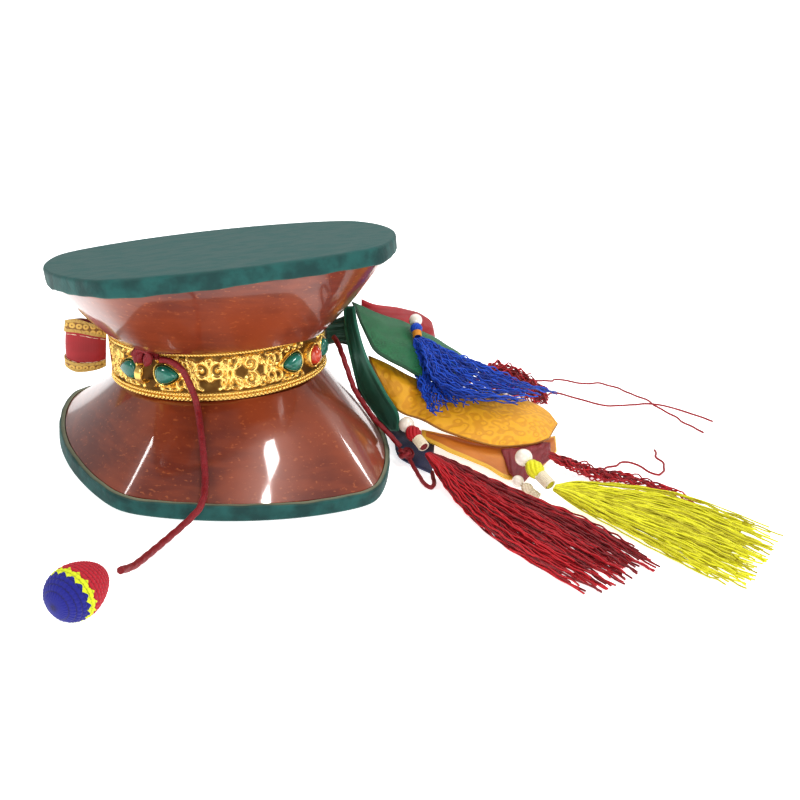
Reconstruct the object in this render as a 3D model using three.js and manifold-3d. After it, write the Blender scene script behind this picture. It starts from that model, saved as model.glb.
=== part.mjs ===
// A two-headed hand drum with an hourglass body, an ornamented waist band, a striker on a cord,
// a hand strap and a tail of cloth lappets and thread tassels that lies beside it.
// Millimetres, +Z up. The drum stands on its lower head, and the origin is the centre of that
// head's underside. +X runs to the side where the tail lies, +Y away from the band's front.
import * as THREE from 'three';
import { mergeVertices } from 'three/addons/utils/BufferGeometryUtils.js';
import Module from 'manifold-3d';

const wasm = await Module();
wasm.setup();

// Clearance kept between pieces that touch
const GAP = 0.3;

// Head outline: four shallow arcs with soft corners, like the rim of a pair of deep bowls.
// Each side is given by its direction in degrees, its reach from the centre and its own arc.
const HEAD_SIDES = [
  { direction: -90, reach: 74.3, arc: 109 },
  { direction: -5.6, reach: 65.4, arc: 135 },
  { direction: 90, reach: 70.4, arc: 78.9 },
  { direction: 185.6, reach: 65.4, arc: 135 },
];
const HEAD_TURN = 4.2; // degrees that the whole outline is turned
const CORNER_SHARPNESS = 43.5; // power of the blend between two sides
const OUTLINE_SIDES = 40; // straight steps around a head

// Skins: a membrane with a skirt glued over the rim of its bowl
const SKIN_THICKNESS = 1.0;
const SKIRT_HEIGHT = 5.8;
const SKIRT_WALL = 2.0;
const SKIN_ROUNDING = 1.1;

// The upper head leans, because the two bowls are joined by hand
const UPPER_HEAD_CENTRE = new THREE.Vector3(-6.6, 0.4, 80.2);
const UPPER_HEAD_TILT_X = 0.187; // radians of rise towards +X
const UPPER_HEAD_TILT_Y = -0.091; // radians of rise towards +Y

// Bowls
const BOWL_WALL = 6.5; // measured level, so about 4.5 through the slanted wall
const CAVITY_DEPTH = 0.86; // share of the bowl's depth that is hollow
const LOWER_NECK_RADIUS = 29; // radius that the lower bowl's slope aims at in the waist plane
const UPPER_NECK_RADIUS = 26;
const LOWER_BULGE = 1.0; // 1 is a straight cone, more is fuller
const UPPER_BULGE = 1.6;
const BOWL_RINGS = 5;

// Waist band
const WAIST_CENTRE = new THREE.Vector3(-5.7, 0.4, 41.4);
const WAIST_TILT_X = 0.125;
const WAIST_TILT_Y = -0.005;
const BAND_RADIUS = 41.0; // ground of the ornament
const BAND_WALL = 2.6;
const BAND_HEIGHT = 19.4;
const BORDER_HEIGHT = 2.8;
const BORDER_RISE = 1.0; // how far the two bead borders stand out
const BAND_CLEARANCE = 0.5; // air between the band's edges and the bowls
const SCROLL_RISE = 0.8;
const SCROLL_PITCH = 21.5; // length of one wave of the scrollwork
const BAND_SIDES = 96;

// Stones and lugs on the band, at angles from -Y towards +X
const LUG_ANGLES = { front: -41, back: 139 };
const CORAL_ANGLES = { front: 52, back: 232 };
const LUG_STONE_SPACING = 12; // degrees from the lug to each of its turquoises
const CORAL_STONE_SPACING = 16;
const TURQUOISE = { length: 8.9, width: 6.4, height: 3.0, taper: 0.4 };
const CORAL = { length: 6.2, width: 7.4, height: 4.4, taper: 0 };
const BEZEL_WALL = 0.8;
const TURQUOISE_BEZEL_HEIGHT = 1.5;
const CORAL_BEZEL_HEIGHT = 2.8;
const STONE_SIDES = 14;
const LUG_RADIUS = 2.6;
const LUG_WIRE = 0.85;
const LUG_BOSS_RADIUS = 1.8;

// Striker: a crocheted ball on a cord that is knotted to the front lug
const STRIKER_CORD_DIAMETER = 2.4;
const STRIKER_KNOT_RADIUS = 2.7;
// The knot and the cord's start are given along the band, down from its edge and out of it
const STRIKER_KNOT_PLACE = [3.69, 2.26, 3.34];
const STRIKER_START = [[9.03, 3.18, 2.13], [12.36, 3.38, 1.23], [16.92, 6.43, 0.15]];
const STRIKER_BALL_LENGTH = 18.5;
const STRIKER_BALL_DIAMETER = 16;
const STRIKER_BALL_CENTRE = new THREE.Vector3(-47.7, -128.1, 8.3);
const STRIKER_BALL_AXIS = new THREE.Vector3(0.62, 0.77, 0.12).normalize();
const STRIKER_ROUTE = [
  [-17.2, -43.6, 36.0],
  [-15.3, -44.2, 30.5], [-14.2, -49.7, 25.5], [-13.2, -57.6, 19.4], [-12.5, -65.0, 13.4],
  [-12.7, -70.8, 10.4], [-13.2, -74.6, 9.0], [-14.8, -77.6, 6.4], [-18.6, -80.6, 3.4],
  [-24.0, -87.4, 1.6], [-29.7, -97.3, 1.5], [-34.1, -106.8, 2.8], [-37.6, -114.2, 5.6],
];

// Tie cord that gathers the tail
const TIE_CORD_DIAMETER = 2.2;
const TIE_KNOT_RADIUS = 2.9;
const TIE_KNOT_CENTRE = new THREE.Vector3(69.5, -24.5, 5);
const TIE_ROUTE = [
  [38.3, -8.6, 48.2], [39.3, -14.5, 46.8], [40.5, -20, 43.5], [43, -21.8, 37.5], [46, -21.8, 31],
  [51, -20, 24], [56.5, -17.5, 17], [62.5, -18, 11.5], [67.6, -22.4, 7],
];

// Hand strap at the far side of the band from the tail: a folded loop of ribbon.
// Its corners are given along, up and out of the band at its own angle.
const STRAP_ANGLE = 266;
const STRAP_THICKNESS = 8;
const STRAP_ROWS = [
  [[-0.57, 8.52, 0.92], [-0.5, -7.85, 2.98]],
  [[-0.11, 13.83, 7.09], [-0.09, -9.12, 8.97]],
  [[0.89, 11.23, 14.42], [0.81, -4.4, 14.37]],
];

// Tail: the gathered neck, then the cloth lappets, each as pairs of edge points from root to tip
const NECK_LENGTH = 10;
const NECK_WIDTH = 11;
const NECK_DEPTH = 12;
const NECK_ANGLE = 94; // degrees from -Y towards +X
const LAPPET_THICKNESS = 1.2;
const LAPPETS = {
  lappet_mottled_green: [
    [[49.5, 16, 57], [51, 3, 52]], [[63.5, 20, 51], [56, -5, 43]], [[77, 29.5, 46], [65, -6, 37.5]],
    [[95.5, 36.5, 37], [79, -2, 30.5]], [[109, 42, 29], [94, 7.5, 24.5]], [[120, 45, 22], [109, 17.5, 23.5]],
  ],
  lappet_green_satin: [
    [[43.5, 3, 58], [47.5, 0.5, 59]], [[43.5, -4.5, 50], [48.5, -7.5, 51]], [[44.5, -14.5, 42], [51, -16.5, 43]],
    [[50.5, -10.5, 27.5], [60, -14.5, 29]], [[59.5, -7, 15], [68.5, -9.5, 17]], [[67.5, -6, 7.5], [70, -8.5, 8.5]],
  ],
  lappet_red: [
    [[56, 27, 56], [57, 28, 46]], [[63, 30.5, 53], [65, 32, 43]], [[78, 45.5, 48.5], [79, 41.5, 39]],
    [[92, 60, 43], [90, 48.5, 34]], [[99.5, 63.5, 38], [96, 52, 31]], [[102.5, 61.5, 31], [100, 55, 28]],
  ],
  lappet_yellow: [
    [[56, 2.5, 37.5], [56.5, 0, 35.5]], [[66, 5.5, 33], [62.5, -2, 25]], [[76, 4, 28.5], [69, -7.5, 17]],
    [[91.5, 8.5, 23.5], [78.5, -9.5, 14]], [[110.5, 13, 21], [88.5, -15, 11]], [[133, 16, 16], [106, -23.5, 8.6]],
    [[145, 13, 12], [123.5, -22.5, 9]], [[146, -1, 10.5], [135.5, -16.5, 9.4]],
  ],
  lappet_orange: [
    [[80, -8.5, 9], [79, -14, 7.5]], [[93, -10, 7], [88.5, -21.5, 5]], [[107, -16, 6], [100, -31, 3.2]],
    [[120, -18, 6], [109, -42, 1.8]], [[134.5, -9.5, 6], [123, -35, 2]], [[144, -4.5, 6], [140.5, -15.5, 3]],
  ],
  lappet_dark_red: [
    [[111, -24, 7], [109, -40, 4.2]], [[118, -23, 7.5], [111, -49, 3.6]], [[129, -18, 7.8], [122.5, -37, 4.4]],
    [[137, -15, 7], [132, -28, 5]],
  ],
  lappet_navy: [
    [[54, 20, 26], [58, 22, 15]], [[63, 14, 13], [66, 14, 6]], [[72, 5.5, 6], [69, -6.5, 2.5]],
    [[80, 1.5, 4.5], [68.5, -20, 1.2]], [[87, -7, 3.4], [78, -36, 1.2]],
  ],
};

// Tassels: a pearl, a wrapped head and a skirt of threads, which lies as a flat fan
const LENGTHWISE_STEPS = 9;
const TASSEL_HEADS = {
  blue_tassel: {
    pearl: [80, 21.5, 49.2], pearlDiameter: 5.8, head: [79.7, 16.6, 45.6], headLength: 6.2, headDiameter: 5,
  },
  red_tassel: {
    pearl: [71, -15.5, 14], pearlDiameter: 6.6, head: [73.6, -24, 11.6], headLength: 12, headDiameter: 6,
  },
  yellow_tassel: {
    pearl: [111.5, -46, 13.2], pearlDiameter: 7, head: [115.2, -55.4, 10.2], headLength: 13, headDiameter: 6.4,
  },
  white_tassel: {
    pearl: [108.5, -51, 5.2], pearlDiameter: 4.8, head: [112.5, -56, 3.2], headLength: 7.4, headDiameter: 4.2,
  },
};
const SKIRTS = {
  blue_tassel_threads: {
    thickness: 2.4,
    rows: [
      [[82, 14, 43.6], [77.5, 12, 43]], [[92, 13, 39], [80, 3, 38.6]], [[112, 17, 32], [82, -6, 31.6]],
      [[134, 22, 23], [96, -11, 26]], [[158, 30, 16.5], [122, -4, 21.5]],
    ],
  },
  red_tassel_threads: {
    thickness: 1.8,
    rows: [
      [[78, -31, 8], [75.4, -32.6, 8]], [[100, -55, 5.6], [80, -63, 3]], [[124, -80, 2.8], [88, -92, 1.8]],
      [[137, -108, 1.6], [104, -125, 1.6]],
    ],
  },
  yellow_tassel_threads: {
    thickness: 2.2,
    rows: [
      [[120.4, -60, 7.6], [118, -63, 7.6]], [[140, -56, 6.4], [133, -80, 3.4]],
      [[172, -62, 4.5], [147, -104, 2.2]], [[199, -88, 2.2], [160, -126, 2]],
    ],
  },
  far_red_tassel: {
    thickness: 5,
    rows: [
      [[130, 64, 14], [127, 52, 12.5]], [[145, 80, 11.5], [136, 47, 9.5]], [[158, 72, 9], [150, 42, 7.5]],
      [[165, 56, 5], [160, 44, 4.6]],
    ],
  },
  stray_thread_back: {
    thickness: 1.2,
    rows: [
      [[172, 74.5, 6], [172.5, 73.3, 6]], [[186, 86, 4], [186, 84.6, 4]], [[212, 86, 2.4], [210.6, 85, 2.4]],
      [[223.6, 60, 3.4], [222.2, 59.4, 3.4]], [[230.4, 41, 1.6], [229, 40.6, 1.2]], [[235.4, 18.2, 1.2], [234, 18, 1.2]],
    ],
  },
  stray_thread_front: {
    thickness: 1.2,
    rows: [
      [[167, 55.6, 6], [167.8, 54.4, 6]], [[176, 62.2, 4], [176.4, 60.8, 4]], [[200, 52.7, 1.6], [199.6, 51.3, 1.6]],
      [[230, 58.7, 1.2], [229.4, 57.3, 1.2]], [[251, 34.2, 1.2], [249.6, 33.6, 1.2]],
    ],
  },
  side_red_tassel: {
    thickness: 1.6,
    rows: [
      [[140, -27, 4.4], [137.5, -33, 3.6]], [[150, -34, 3.6], [144, -42, 3]], [[170, -42, 2.2], [163, -49, 2.2]],
      [[188, -62, 1.3], [184, -66, 1.3]],
    ],
  },
};

const COLOURS = {
  lacquered_wood: [0x6b2a1c, 0.28, 0.0],
  hide: [0x1f6a66, 0.72, 0.0],
  gilt_brass: [0xc39a45, 0.34, 0.95],
  turquoise: [0x2f8f8a, 0.3, 0.0],
  coral: [0xc8412b, 0.3, 0.0],
  crimson_cord: [0xa5121c, 0.8, 0.0],
  striker_crochet: [0xb01822, 0.85, 0.0],
  strap_satin: [0xa41a22, 0.5, 0.0],
  green_brocade: [0x1f4a3a, 0.7, 0.0],
  green_satin: [0x1d5a44, 0.45, 0.0],
  mottled_green: [0x2f8a55, 0.6, 0.0],
  red_satin: [0xb3151f, 0.45, 0.0],
  yellow_brocade: [0xd9a92b, 0.6, 0.0],
  orange_satin: [0xd07a26, 0.5, 0.0],
  dark_red_satin: [0x7d141c, 0.45, 0.0],
  navy_satin: [0x272f4a, 0.45, 0.0],
  pearl: [0xe9e2d2, 0.25, 0.0],
  blue_thread: [0x2546b8, 0.7, 0.0],
  red_thread: [0xb5141f, 0.7, 0.0],
  lemon_thread: [0xd8d23c, 0.7, 0.0],
  white_thread: [0xe8e2d6, 0.7, 0.0],
};
const ROOT = new THREE.Group();
const materials = new Map();

function material(name) {
  if (!materials.has(name)) {
    const [color, roughness, metalness] = COLOURS[name];
    materials.set(name, new THREE.MeshStandardMaterial({ name, color, roughness, metalness }));
  }
  return materials.get(name);
}

function addPiece(name, geometry, materialName) {
  const mesh = new THREE.Mesh(geometry, material(materialName));
  mesh.name = name;
  ROOT.add(mesh);
  return mesh;
}

const radians = THREE.MathUtils.degToRad;
const angleAt = (index, count) => (index / count) * 2 * Math.PI;

// A leaning plane: its own point, its two level directions and its normal
class Plane {
  constructor(centre, tiltX, tiltY) {
    this.centre = centre;
    this.slopeX = Math.tan(tiltX);
    this.slopeY = Math.tan(tiltY);
    this.alongX = new THREE.Vector3(1, 0, this.slopeX).normalize();
    this.normal = new THREE.Vector3(-this.slopeX, -this.slopeY, 1).normalize();
    this.alongY = new THREE.Vector3().crossVectors(this.normal, this.alongX);
  }

  at(x, y, height = 0) {
    return this.centre.clone().addScaledVector(this.alongX, x).addScaledVector(this.alongY, y)
      .addScaledVector(this.normal, height);
  }

  // Z of the plane, moved along its normal, over a point in plan
  zOver(x, y, height = 0) {
    const lift = height / this.normal.z;
    return this.centre.z + this.slopeX * (x - this.centre.x) + this.slopeY * (y - this.centre.y) + lift;
  }
}

const LOWER_HEAD = new Plane(new THREE.Vector3(0, 0, 0), 0, 0);
const UPPER_HEAD = new Plane(UPPER_HEAD_CENTRE, UPPER_HEAD_TILT_X, UPPER_HEAD_TILT_Y);
const WAIST = new Plane(WAIST_CENTRE, WAIST_TILT_X, WAIST_TILT_Y);
const BAND_INNER = BAND_RADIUS - BAND_WALL;
const BAND_OUTER = BAND_RADIUS + BORDER_RISE;

// Closed body from rings of points. Ends are closed by a fan, or the last ring joins the first.
function loft(rings, loop = false) {
  const count = rings[0].length;
  const positions = rings.flat().flatMap((point) => [point.x, point.y, point.z]);
  const indices = [];
  const bands = loop ? rings.length : rings.length - 1;
  for (let row = 0; row < bands; row += 1) {
    const next = (row + 1) % rings.length;
    for (let column = 0; column < count; column += 1) {
      const beside = (column + 1) % count;
      const a = row * count + column;
      const b = row * count + beside;
      const c = next * count + beside;
      const d = next * count + column;
      indices.push(a, b, c, a, c, d);
    }
  }
  if (!loop) {
    for (const [ring, start, turn] of [[rings[0], 0, -1], [rings.at(-1), (rings.length - 1) * count, 1]]) {
      const middle = ring.reduce((sum, point) => sum.add(point), new THREE.Vector3()).divideScalar(count);
      const centre = positions.length / 3;
      positions.push(middle.x, middle.y, middle.z);
      for (let column = 0; column < count; column += 1) {
        const here = start + column;
        const beside = start + ((column + 1) % count);
        indices.push(...(turn > 0 ? [here, beside, centre] : [beside, here, centre]));
      }
    }
  }
  const geometry = new THREE.BufferGeometry();
  geometry.setAttribute('position', new THREE.Float32BufferAttribute(positions, 3));
  geometry.setIndex(indices);
  return facingOut(geometry);
}

// Turns every triangle over if the body's volume comes out negative
function facingOut(geometry) {
  const position = geometry.getAttribute('position');
  const index = geometry.getIndex();
  const corner = [new THREE.Vector3(), new THREE.Vector3(), new THREE.Vector3()];
  let volume = 0;
  for (let i = 0; i < index.count; i += 3) {
    corner.forEach((vector, k) => vector.fromBufferAttribute(position, index.getX(i + k)));
    volume += corner[0].dot(corner[1].clone().cross(corner[2]));
  }
  if (volume < 0) {
    for (let i = 0; i < index.count; i += 3) {
      const second = index.getX(i + 1);
      index.setX(i + 1, index.getX(i + 2));
      index.setX(i + 2, second);
    }
  }
  geometry.computeVertexNormals();
  return geometry;
}

function toSolid(source) {
  const bare = source.clone();
  bare.deleteAttribute('normal');
  bare.deleteAttribute('uv');
  const merged = mergeVertices(bare, 1e-5);
  return new wasm.Manifold(new wasm.Mesh({
    numProp: 3,
    vertProperties: new Float32Array(merged.getAttribute('position').array),
    triVerts: new Uint32Array(merged.getIndex().array),
  }));
}

function fromSolid(solid) {
  const mesh = solid.getMesh();
  const geometry = new THREE.BufferGeometry();
  geometry.setAttribute('position', new THREE.BufferAttribute(new Float32Array(mesh.vertProperties), 3));
  geometry.setIndex(new THREE.BufferAttribute(new Uint32Array(mesh.triVerts), 1));
  geometry.computeVertexNormals();
  return geometry;
}

const join = (first, ...others) => fromSolid(
  others.reduce((sum, geometry) => sum.add(toSolid(geometry)), toSolid(first)),
);

// Distance from the head's centre to its outline in one direction
function headRadius(theta) {
  const power = CORNER_SHARPNESS;
  const sum = HEAD_SIDES.reduce((total, side) => {
    const turn = theta - radians(HEAD_TURN + side.direction);
    const offset = side.reach - side.arc;
    const reach = offset * Math.cos(turn) + Math.sqrt(side.arc ** 2 - (offset * Math.sin(turn)) ** 2);
    return total + reach ** -power;
  }, 0);
  return sum ** (-1 / power);
}

// One ring of a head's outline, drawn in by inset and moved along the normal by height
function headRing(plane, inset, height) {
  return Array.from({ length: OUTLINE_SIDES }, (_, index) => {
    const theta = angleAt(index, OUTLINE_SIDES);
    const radius = headRadius(theta) - inset;
    return plane.at(radius * Math.cos(theta), radius * Math.sin(theta), height);
  });
}

function makeSkin(name, plane, inward) {
  const rounding = SKIN_ROUNDING;
  const rings = [
    headRing(plane, rounding, 0),
    headRing(plane, 0.3 * rounding, inward * 0.3 * rounding),
    headRing(plane, 0, inward * rounding),
    headRing(plane, 0, inward * (SKIRT_HEIGHT - 0.6)),
    headRing(plane, 0.6, inward * SKIRT_HEIGHT),
    headRing(plane, SKIRT_WALL, inward * SKIRT_HEIGHT),
    headRing(plane, SKIRT_WALL, inward * SKIN_THICKNESS),
  ];
  addPiece(name, loft(rings), 'hide');
}

// One wooden bowl, from its rim under the skin to the plane where the two bowls are glued
function makeBowl(name, head, inward, neckRadius, bulge) {
  const rimInset = SKIRT_WALL + GAP;
  const edgeHeight = -inward * (BAND_HEIGHT / 2 + BAND_CLEARANCE);
  const rimZ = head.zOver(head.centre.x, head.centre.y, inward * SKIRT_HEIGHT);
  const depth = Math.abs(WAIST_CENTRE.z - rimZ);
  const edgeShare = 1 - Math.abs(edgeHeight) / depth;
  const coreRadius = BAND_INNER - GAP;

  // share runs from the rim to the waist plane, and inset draws the ring in by the wall
  const bowlRing = (share, inset) => Array.from({ length: OUTLINE_SIDES }, (_, index) => {
    const theta = angleAt(index, OUTLINE_SIDES);
    const rimRadius = headRadius(theta) - rimInset - inset;
    const rim = head.at(rimRadius * Math.cos(theta), rimRadius * Math.sin(theta), inward * SKIRT_HEIGHT);
    const neck = WAIST.at((neckRadius - inset) * Math.cos(theta), (neckRadius - inset) * Math.sin(theta));
    const keep = (1 - share) ** (1 / bulge);
    const x = neck.x + (rim.x - neck.x) * keep;
    const y = neck.y + (rim.y - neck.y) * keep;
    const towardsEdge = share / edgeShare;
    return new THREE.Vector3(x, y, rim.z + (WAIST.zOver(x, y, edgeHeight) - rim.z) * towardsEdge);
  });
  const coreRing = (height) => Array.from({ length: OUTLINE_SIDES }, (_, index) => {
    const theta = angleAt(index, OUTLINE_SIDES);
    return WAIST.at(coreRadius * Math.cos(theta), coreRadius * Math.sin(theta), height);
  });

  const rimHeight = inward * (SKIN_THICKNESS + GAP);
  const outside = [headRing(head, rimInset, rimHeight)];
  for (let ring = 0; ring <= BOWL_RINGS; ring += 1) {
    outside.push(bowlRing((edgeShare * ring) / BOWL_RINGS, 0));
  }
  outside.push(coreRing(edgeHeight), coreRing(-inward * (GAP / 2)));

  const inside = [];
  for (let ring = BOWL_RINGS; ring >= 0; ring -= 1) {
    inside.push(bowlRing((CAVITY_DEPTH * edgeShare * ring) / BOWL_RINGS, BOWL_WALL));
  }
  inside.push(headRing(head, rimInset + BOWL_WALL, rimHeight));
  addPiece(name, bowlBody(outside, inside), 'lacquered_wood');
}

// The outside ends in a flat face at the waist and the inside ends in the cavity's floor,
// so the two lofts share the rim and each has its own fan.
function bowlBody(outside, inside) {
  return loft([...outside.toReversed(), ...inside.toReversed()]);
}

// Height of the running scrollwork over the band's ground, in 0 to 1
function scrollShape(along, up) {
  const wave = (2 * Math.PI * along) / SCROLL_PITCH;
  const stem = Math.exp(-(((up - 2.8 * Math.sin(wave)) / 1.1) ** 2));
  const half = SCROLL_PITCH / 2;
  const cell = Math.floor(along / half);
  const side = cell % 2 === 0 ? -1 : 1;
  const distance = Math.hypot(along - (cell + 0.5) * half, up - side * 1.6);
  const volute = Math.exp(-(((distance - 2.7) / 0.9) ** 2));
  const boss = Math.exp(-((distance / 1.0) ** 2));
  return Math.max(stem, volute, boss);
}

const clusterAngles = [...Object.values(LUG_ANGLES), ...Object.values(CORAL_ANGLES)];

// 0 on the plain ground around the stones and 1 where the scrollwork runs freely
function clearOfStones(degrees) {
  const halfWidth = CORAL_STONE_SPACING + 8;
  const nearest = Math.min(...clusterAngles.map((angle) => {
    const turn = ((degrees - angle + 540) % 360) - 180;
    return Math.abs(turn);
  }));
  return THREE.MathUtils.smoothstep(nearest, halfWidth - 3, halfWidth + 1);
}

// A point on the band at an angle in degrees from -Y towards +X
function bandPoint(degrees, radius, height) {
  const turn = radians(degrees - 90);
  return WAIST.at(radius * Math.cos(turn), radius * Math.sin(turn), height);
}

// Local directions on the band: along it, up it and out of it
function bandFrame(degrees, radius) {
  const turn = radians(degrees - 90);
  const out = WAIST.at(Math.cos(turn), Math.sin(turn)).sub(WAIST.centre);
  const along = new THREE.Vector3().crossVectors(WAIST.normal, out);
  const origin = bandPoint(degrees, radius, 0);
  return (x, y, z) => origin.clone().addScaledVector(along, x).addScaledVector(WAIST.normal, y)
    .addScaledVector(out, z);
}

function bandBody() {
  const half = BAND_HEIGHT / 2;
  const field = half - BORDER_HEIGHT;
  const rows = [[-half, BAND_INNER], [-half, BAND_RADIUS + 0.4 * BORDER_RISE], [-half + 0.6, BAND_OUTER],
    [-field - 0.6, BAND_OUTER], [-field, BAND_RADIUS]];
  const fieldRows = 5;
  for (let row = 1; row < fieldRows; row += 1) {
    rows.push([-field + (2 * field * row) / fieldRows, BAND_RADIUS, true]);
  }
  rows.push([field, BAND_RADIUS], [field + 0.6, BAND_OUTER], [half - 0.6, BAND_OUTER],
    [half, BAND_RADIUS + 0.4 * BORDER_RISE], [half, BAND_INNER]);
  const rings = rows.map(([height, radius, carved]) => Array.from({ length: BAND_SIDES }, (_, index) => {
    const degrees = (index / BAND_SIDES) * 360;
    const along = radians(degrees) * BAND_RADIUS;
    const rise = carved ? SCROLL_RISE * scrollShape(along, height) * clearOfStones(degrees) : 0;
    return bandPoint(degrees, radius + rise, height);
  }));
  return loft(rings, true);
}

// Outline of a stone: an oval, narrowed to a tip towards +x by the taper
function stoneRing(stone, place, grow, tip, height, scale = 1) {
  return Array.from({ length: STONE_SIDES }, (_, index) => {
    const turn = angleAt(index, STONE_SIDES);
    const x = (stone.length / 2 + grow) * Math.cos(turn) * scale;
    const y = (stone.width / 2 + grow) * Math.sin(turn) * (1 - stone.taper * Math.cos(turn)) * scale;
    return place(tip * x, y, height);
  });
}

function bezelBody(stone, place, tip, height) {
  const root = -BAND_WALL / 2;
  return loft([
    stoneRing(stone, place, GAP, tip, root),
    stoneRing(stone, place, GAP + BEZEL_WALL, tip, root),
    stoneRing(stone, place, GAP + BEZEL_WALL, tip, height),
    stoneRing(stone, place, GAP, tip, height),
  ], true);
}

function stoneBody(stone, place, tip) {
  const base = SCROLL_RISE / 2;
  return loft([
    stoneRing(stone, place, 0, tip, base),
    stoneRing(stone, place, 0, tip, base + stone.height * 0.4),
    stoneRing(stone, place, 0, tip, base + stone.height * 0.8, 0.74),
    stoneRing(stone, place, 0, tip, base + stone.height, 0.34),
  ]);
}

function makeWaistBand() {
  const bezels = [];
  let turquoises = 0;
  const setStone = (stone, degrees, tip, bezelHeight) => {
    const place = bandFrame(degrees, BAND_RADIUS);
    bezels.push(bezelBody(stone, place, tip, bezelHeight));
    return stoneBody(stone, place, tip);
  };
  const pairs = [
    ...Object.values(LUG_ANGLES).map((angle) => [angle, LUG_STONE_SPACING]),
    ...Object.values(CORAL_ANGLES).map((angle) => [angle, CORAL_STONE_SPACING]),
  ];
  for (const [angle, spacing] of pairs) {
    for (const side of [-1, 1]) {
      turquoises += 1;
      const body = setStone(TURQUOISE, angle + side * spacing, side, TURQUOISE_BEZEL_HEIGHT);
      addPiece(`turquoise_${turquoises}`, body, 'turquoise');
    }
  }
  for (const [place, angle] of Object.entries(CORAL_ANGLES)) {
    addPiece(`coral_${place}`, setStone(CORAL, angle, 1, CORAL_BEZEL_HEIGHT), 'coral');
  }
  addPiece('waist_band', join(bandBody(), ...bezels), 'gilt_brass');
}

// Wire loop on a small boss, where a striker cord is tied
function makeLug(name, degrees) {
  const place = bandFrame(degrees, BAND_OUTER + GAP);
  const circle = (radius, height) => Array.from({ length: 12 }, (_, index) => {
    const turn = angleAt(index, 12);
    return place(radius * Math.cos(turn), radius * Math.sin(turn), height);
  });
  const boss = loft([circle(LUG_BOSS_RADIUS, 0), circle(LUG_BOSS_RADIUS, 0.6), circle(LUG_BOSS_RADIUS * 0.6, 1.2)]);
  const middle = 1.2 + LUG_RADIUS - LUG_WIRE;
  const rings = Array.from({ length: 14 }, (_, around) => {
    const turn = angleAt(around, 14);
    return Array.from({ length: 7 }, (__, index) => {
      const roll = angleAt(index, 7);
      const reach = LUG_RADIUS + LUG_WIRE * Math.cos(roll);
      return place(LUG_WIRE * Math.sin(roll), reach * Math.sin(turn), middle + reach * Math.cos(turn));
    });
  });
  addPiece(name, join(boss, loft(rings, true)), 'gilt_brass');
}

// Round cord along a smooth curve through its route
function makeCord(name, route, diameter, materialName) {
  const curve = new THREE.CatmullRomCurve3(route.map((point) => new THREE.Vector3(...point)), false, 'centripetal');
  const sides = 8;
  const section = new THREE.Shape(Array.from({ length: sides }, (_, index) => {
    const turn = angleAt(index, sides);
    return new THREE.Vector2((diameter / 2) * Math.cos(turn), (diameter / 2) * Math.sin(turn));
  }));
  const steps = Math.round(curve.getLength() / (2.5 * diameter));
  const geometry = new THREE.ExtrudeGeometry(section, { steps, bevelEnabled: false, extrudePath: curve });
  addPiece(name, geometry, materialName);
}

// Body turned about an axis through a point, from pairs of distance along it and radius
function turnedBody(centre, axis, profile, sides) {
  const level = Math.abs(axis.z) > 0.9 ? new THREE.Vector3(1, 0, 0) : new THREE.Vector3(0, 0, 1);
  const across = new THREE.Vector3().crossVectors(axis, level).normalize();
  const above = new THREE.Vector3().crossVectors(axis, across);
  return loft(profile.map(([distance, radius]) => Array.from({ length: sides }, (_, index) => {
    const turn = angleAt(index, sides);
    return centre.clone().addScaledVector(axis, distance)
      .addScaledVector(across, radius * Math.cos(turn)).addScaledVector(above, radius * Math.sin(turn));
  })));
}

function makeBead(name, centre, diameter, materialName, length = diameter, axis = new THREE.Vector3(0, 0, 1), sides = 12) {
  const rings = 8;
  const profile = Array.from({ length: rings - 1 }, (_, index) => {
    const turn = (Math.PI * (index + 1)) / rings;
    return [(-length / 2) * Math.cos(turn), (diameter / 2) * Math.sin(turn)];
  });
  profile[0][0] = -length / 2 + 0.02 * length;
  profile[rings - 2][0] = length / 2 - 0.02 * length;
  addPiece(name, turnedBody(centre, axis, profile, sides), materialName);
}

// A flat piece of cloth or a fan of threads, from pairs of edge points, with even thickness
function slabBody(rows, thickness, lengthwise) {
  const left = new THREE.CatmullRomCurve3(rows.map(([edge]) => new THREE.Vector3(...edge)));
  const right = new THREE.CatmullRomCurve3(rows.map(([, edge]) => new THREE.Vector3(...edge)));
  const rings = Array.from({ length: lengthwise + 1 }, (_, index) => {
    const share = index / lengthwise;
    const a = left.getPoint(share);
    const b = right.getPoint(share);
    const forward = left.getTangent(share).add(right.getTangent(share)).normalize();
    const normal = new THREE.Vector3().subVectors(b, a).cross(forward).normalize();
    const half = thickness / 2;
    const middle = a.clone().lerp(b, 0.5);
    return [
      a.clone().addScaledVector(normal, -half), middle.clone().addScaledVector(normal, -half),
      b.clone().addScaledVector(normal, -half), b.clone().addScaledVector(normal, half),
      middle.clone().addScaledVector(normal, half), a.clone().addScaledVector(normal, half),
    ];
  });
  return loft(rings);
}

function makeDrum() {
  makeSkin('lower_skin', LOWER_HEAD, 1);
  makeSkin('upper_skin', UPPER_HEAD, -1);
  makeBowl('lower_bowl', LOWER_HEAD, 1, LOWER_NECK_RADIUS, LOWER_BULGE);
  makeBowl('upper_bowl', UPPER_HEAD, -1, UPPER_NECK_RADIUS, UPPER_BULGE);
  makeWaistBand();
  for (const [place, angle] of Object.entries(LUG_ANGLES)) makeLug(`cord_lug_${place}`, angle);
}

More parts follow.
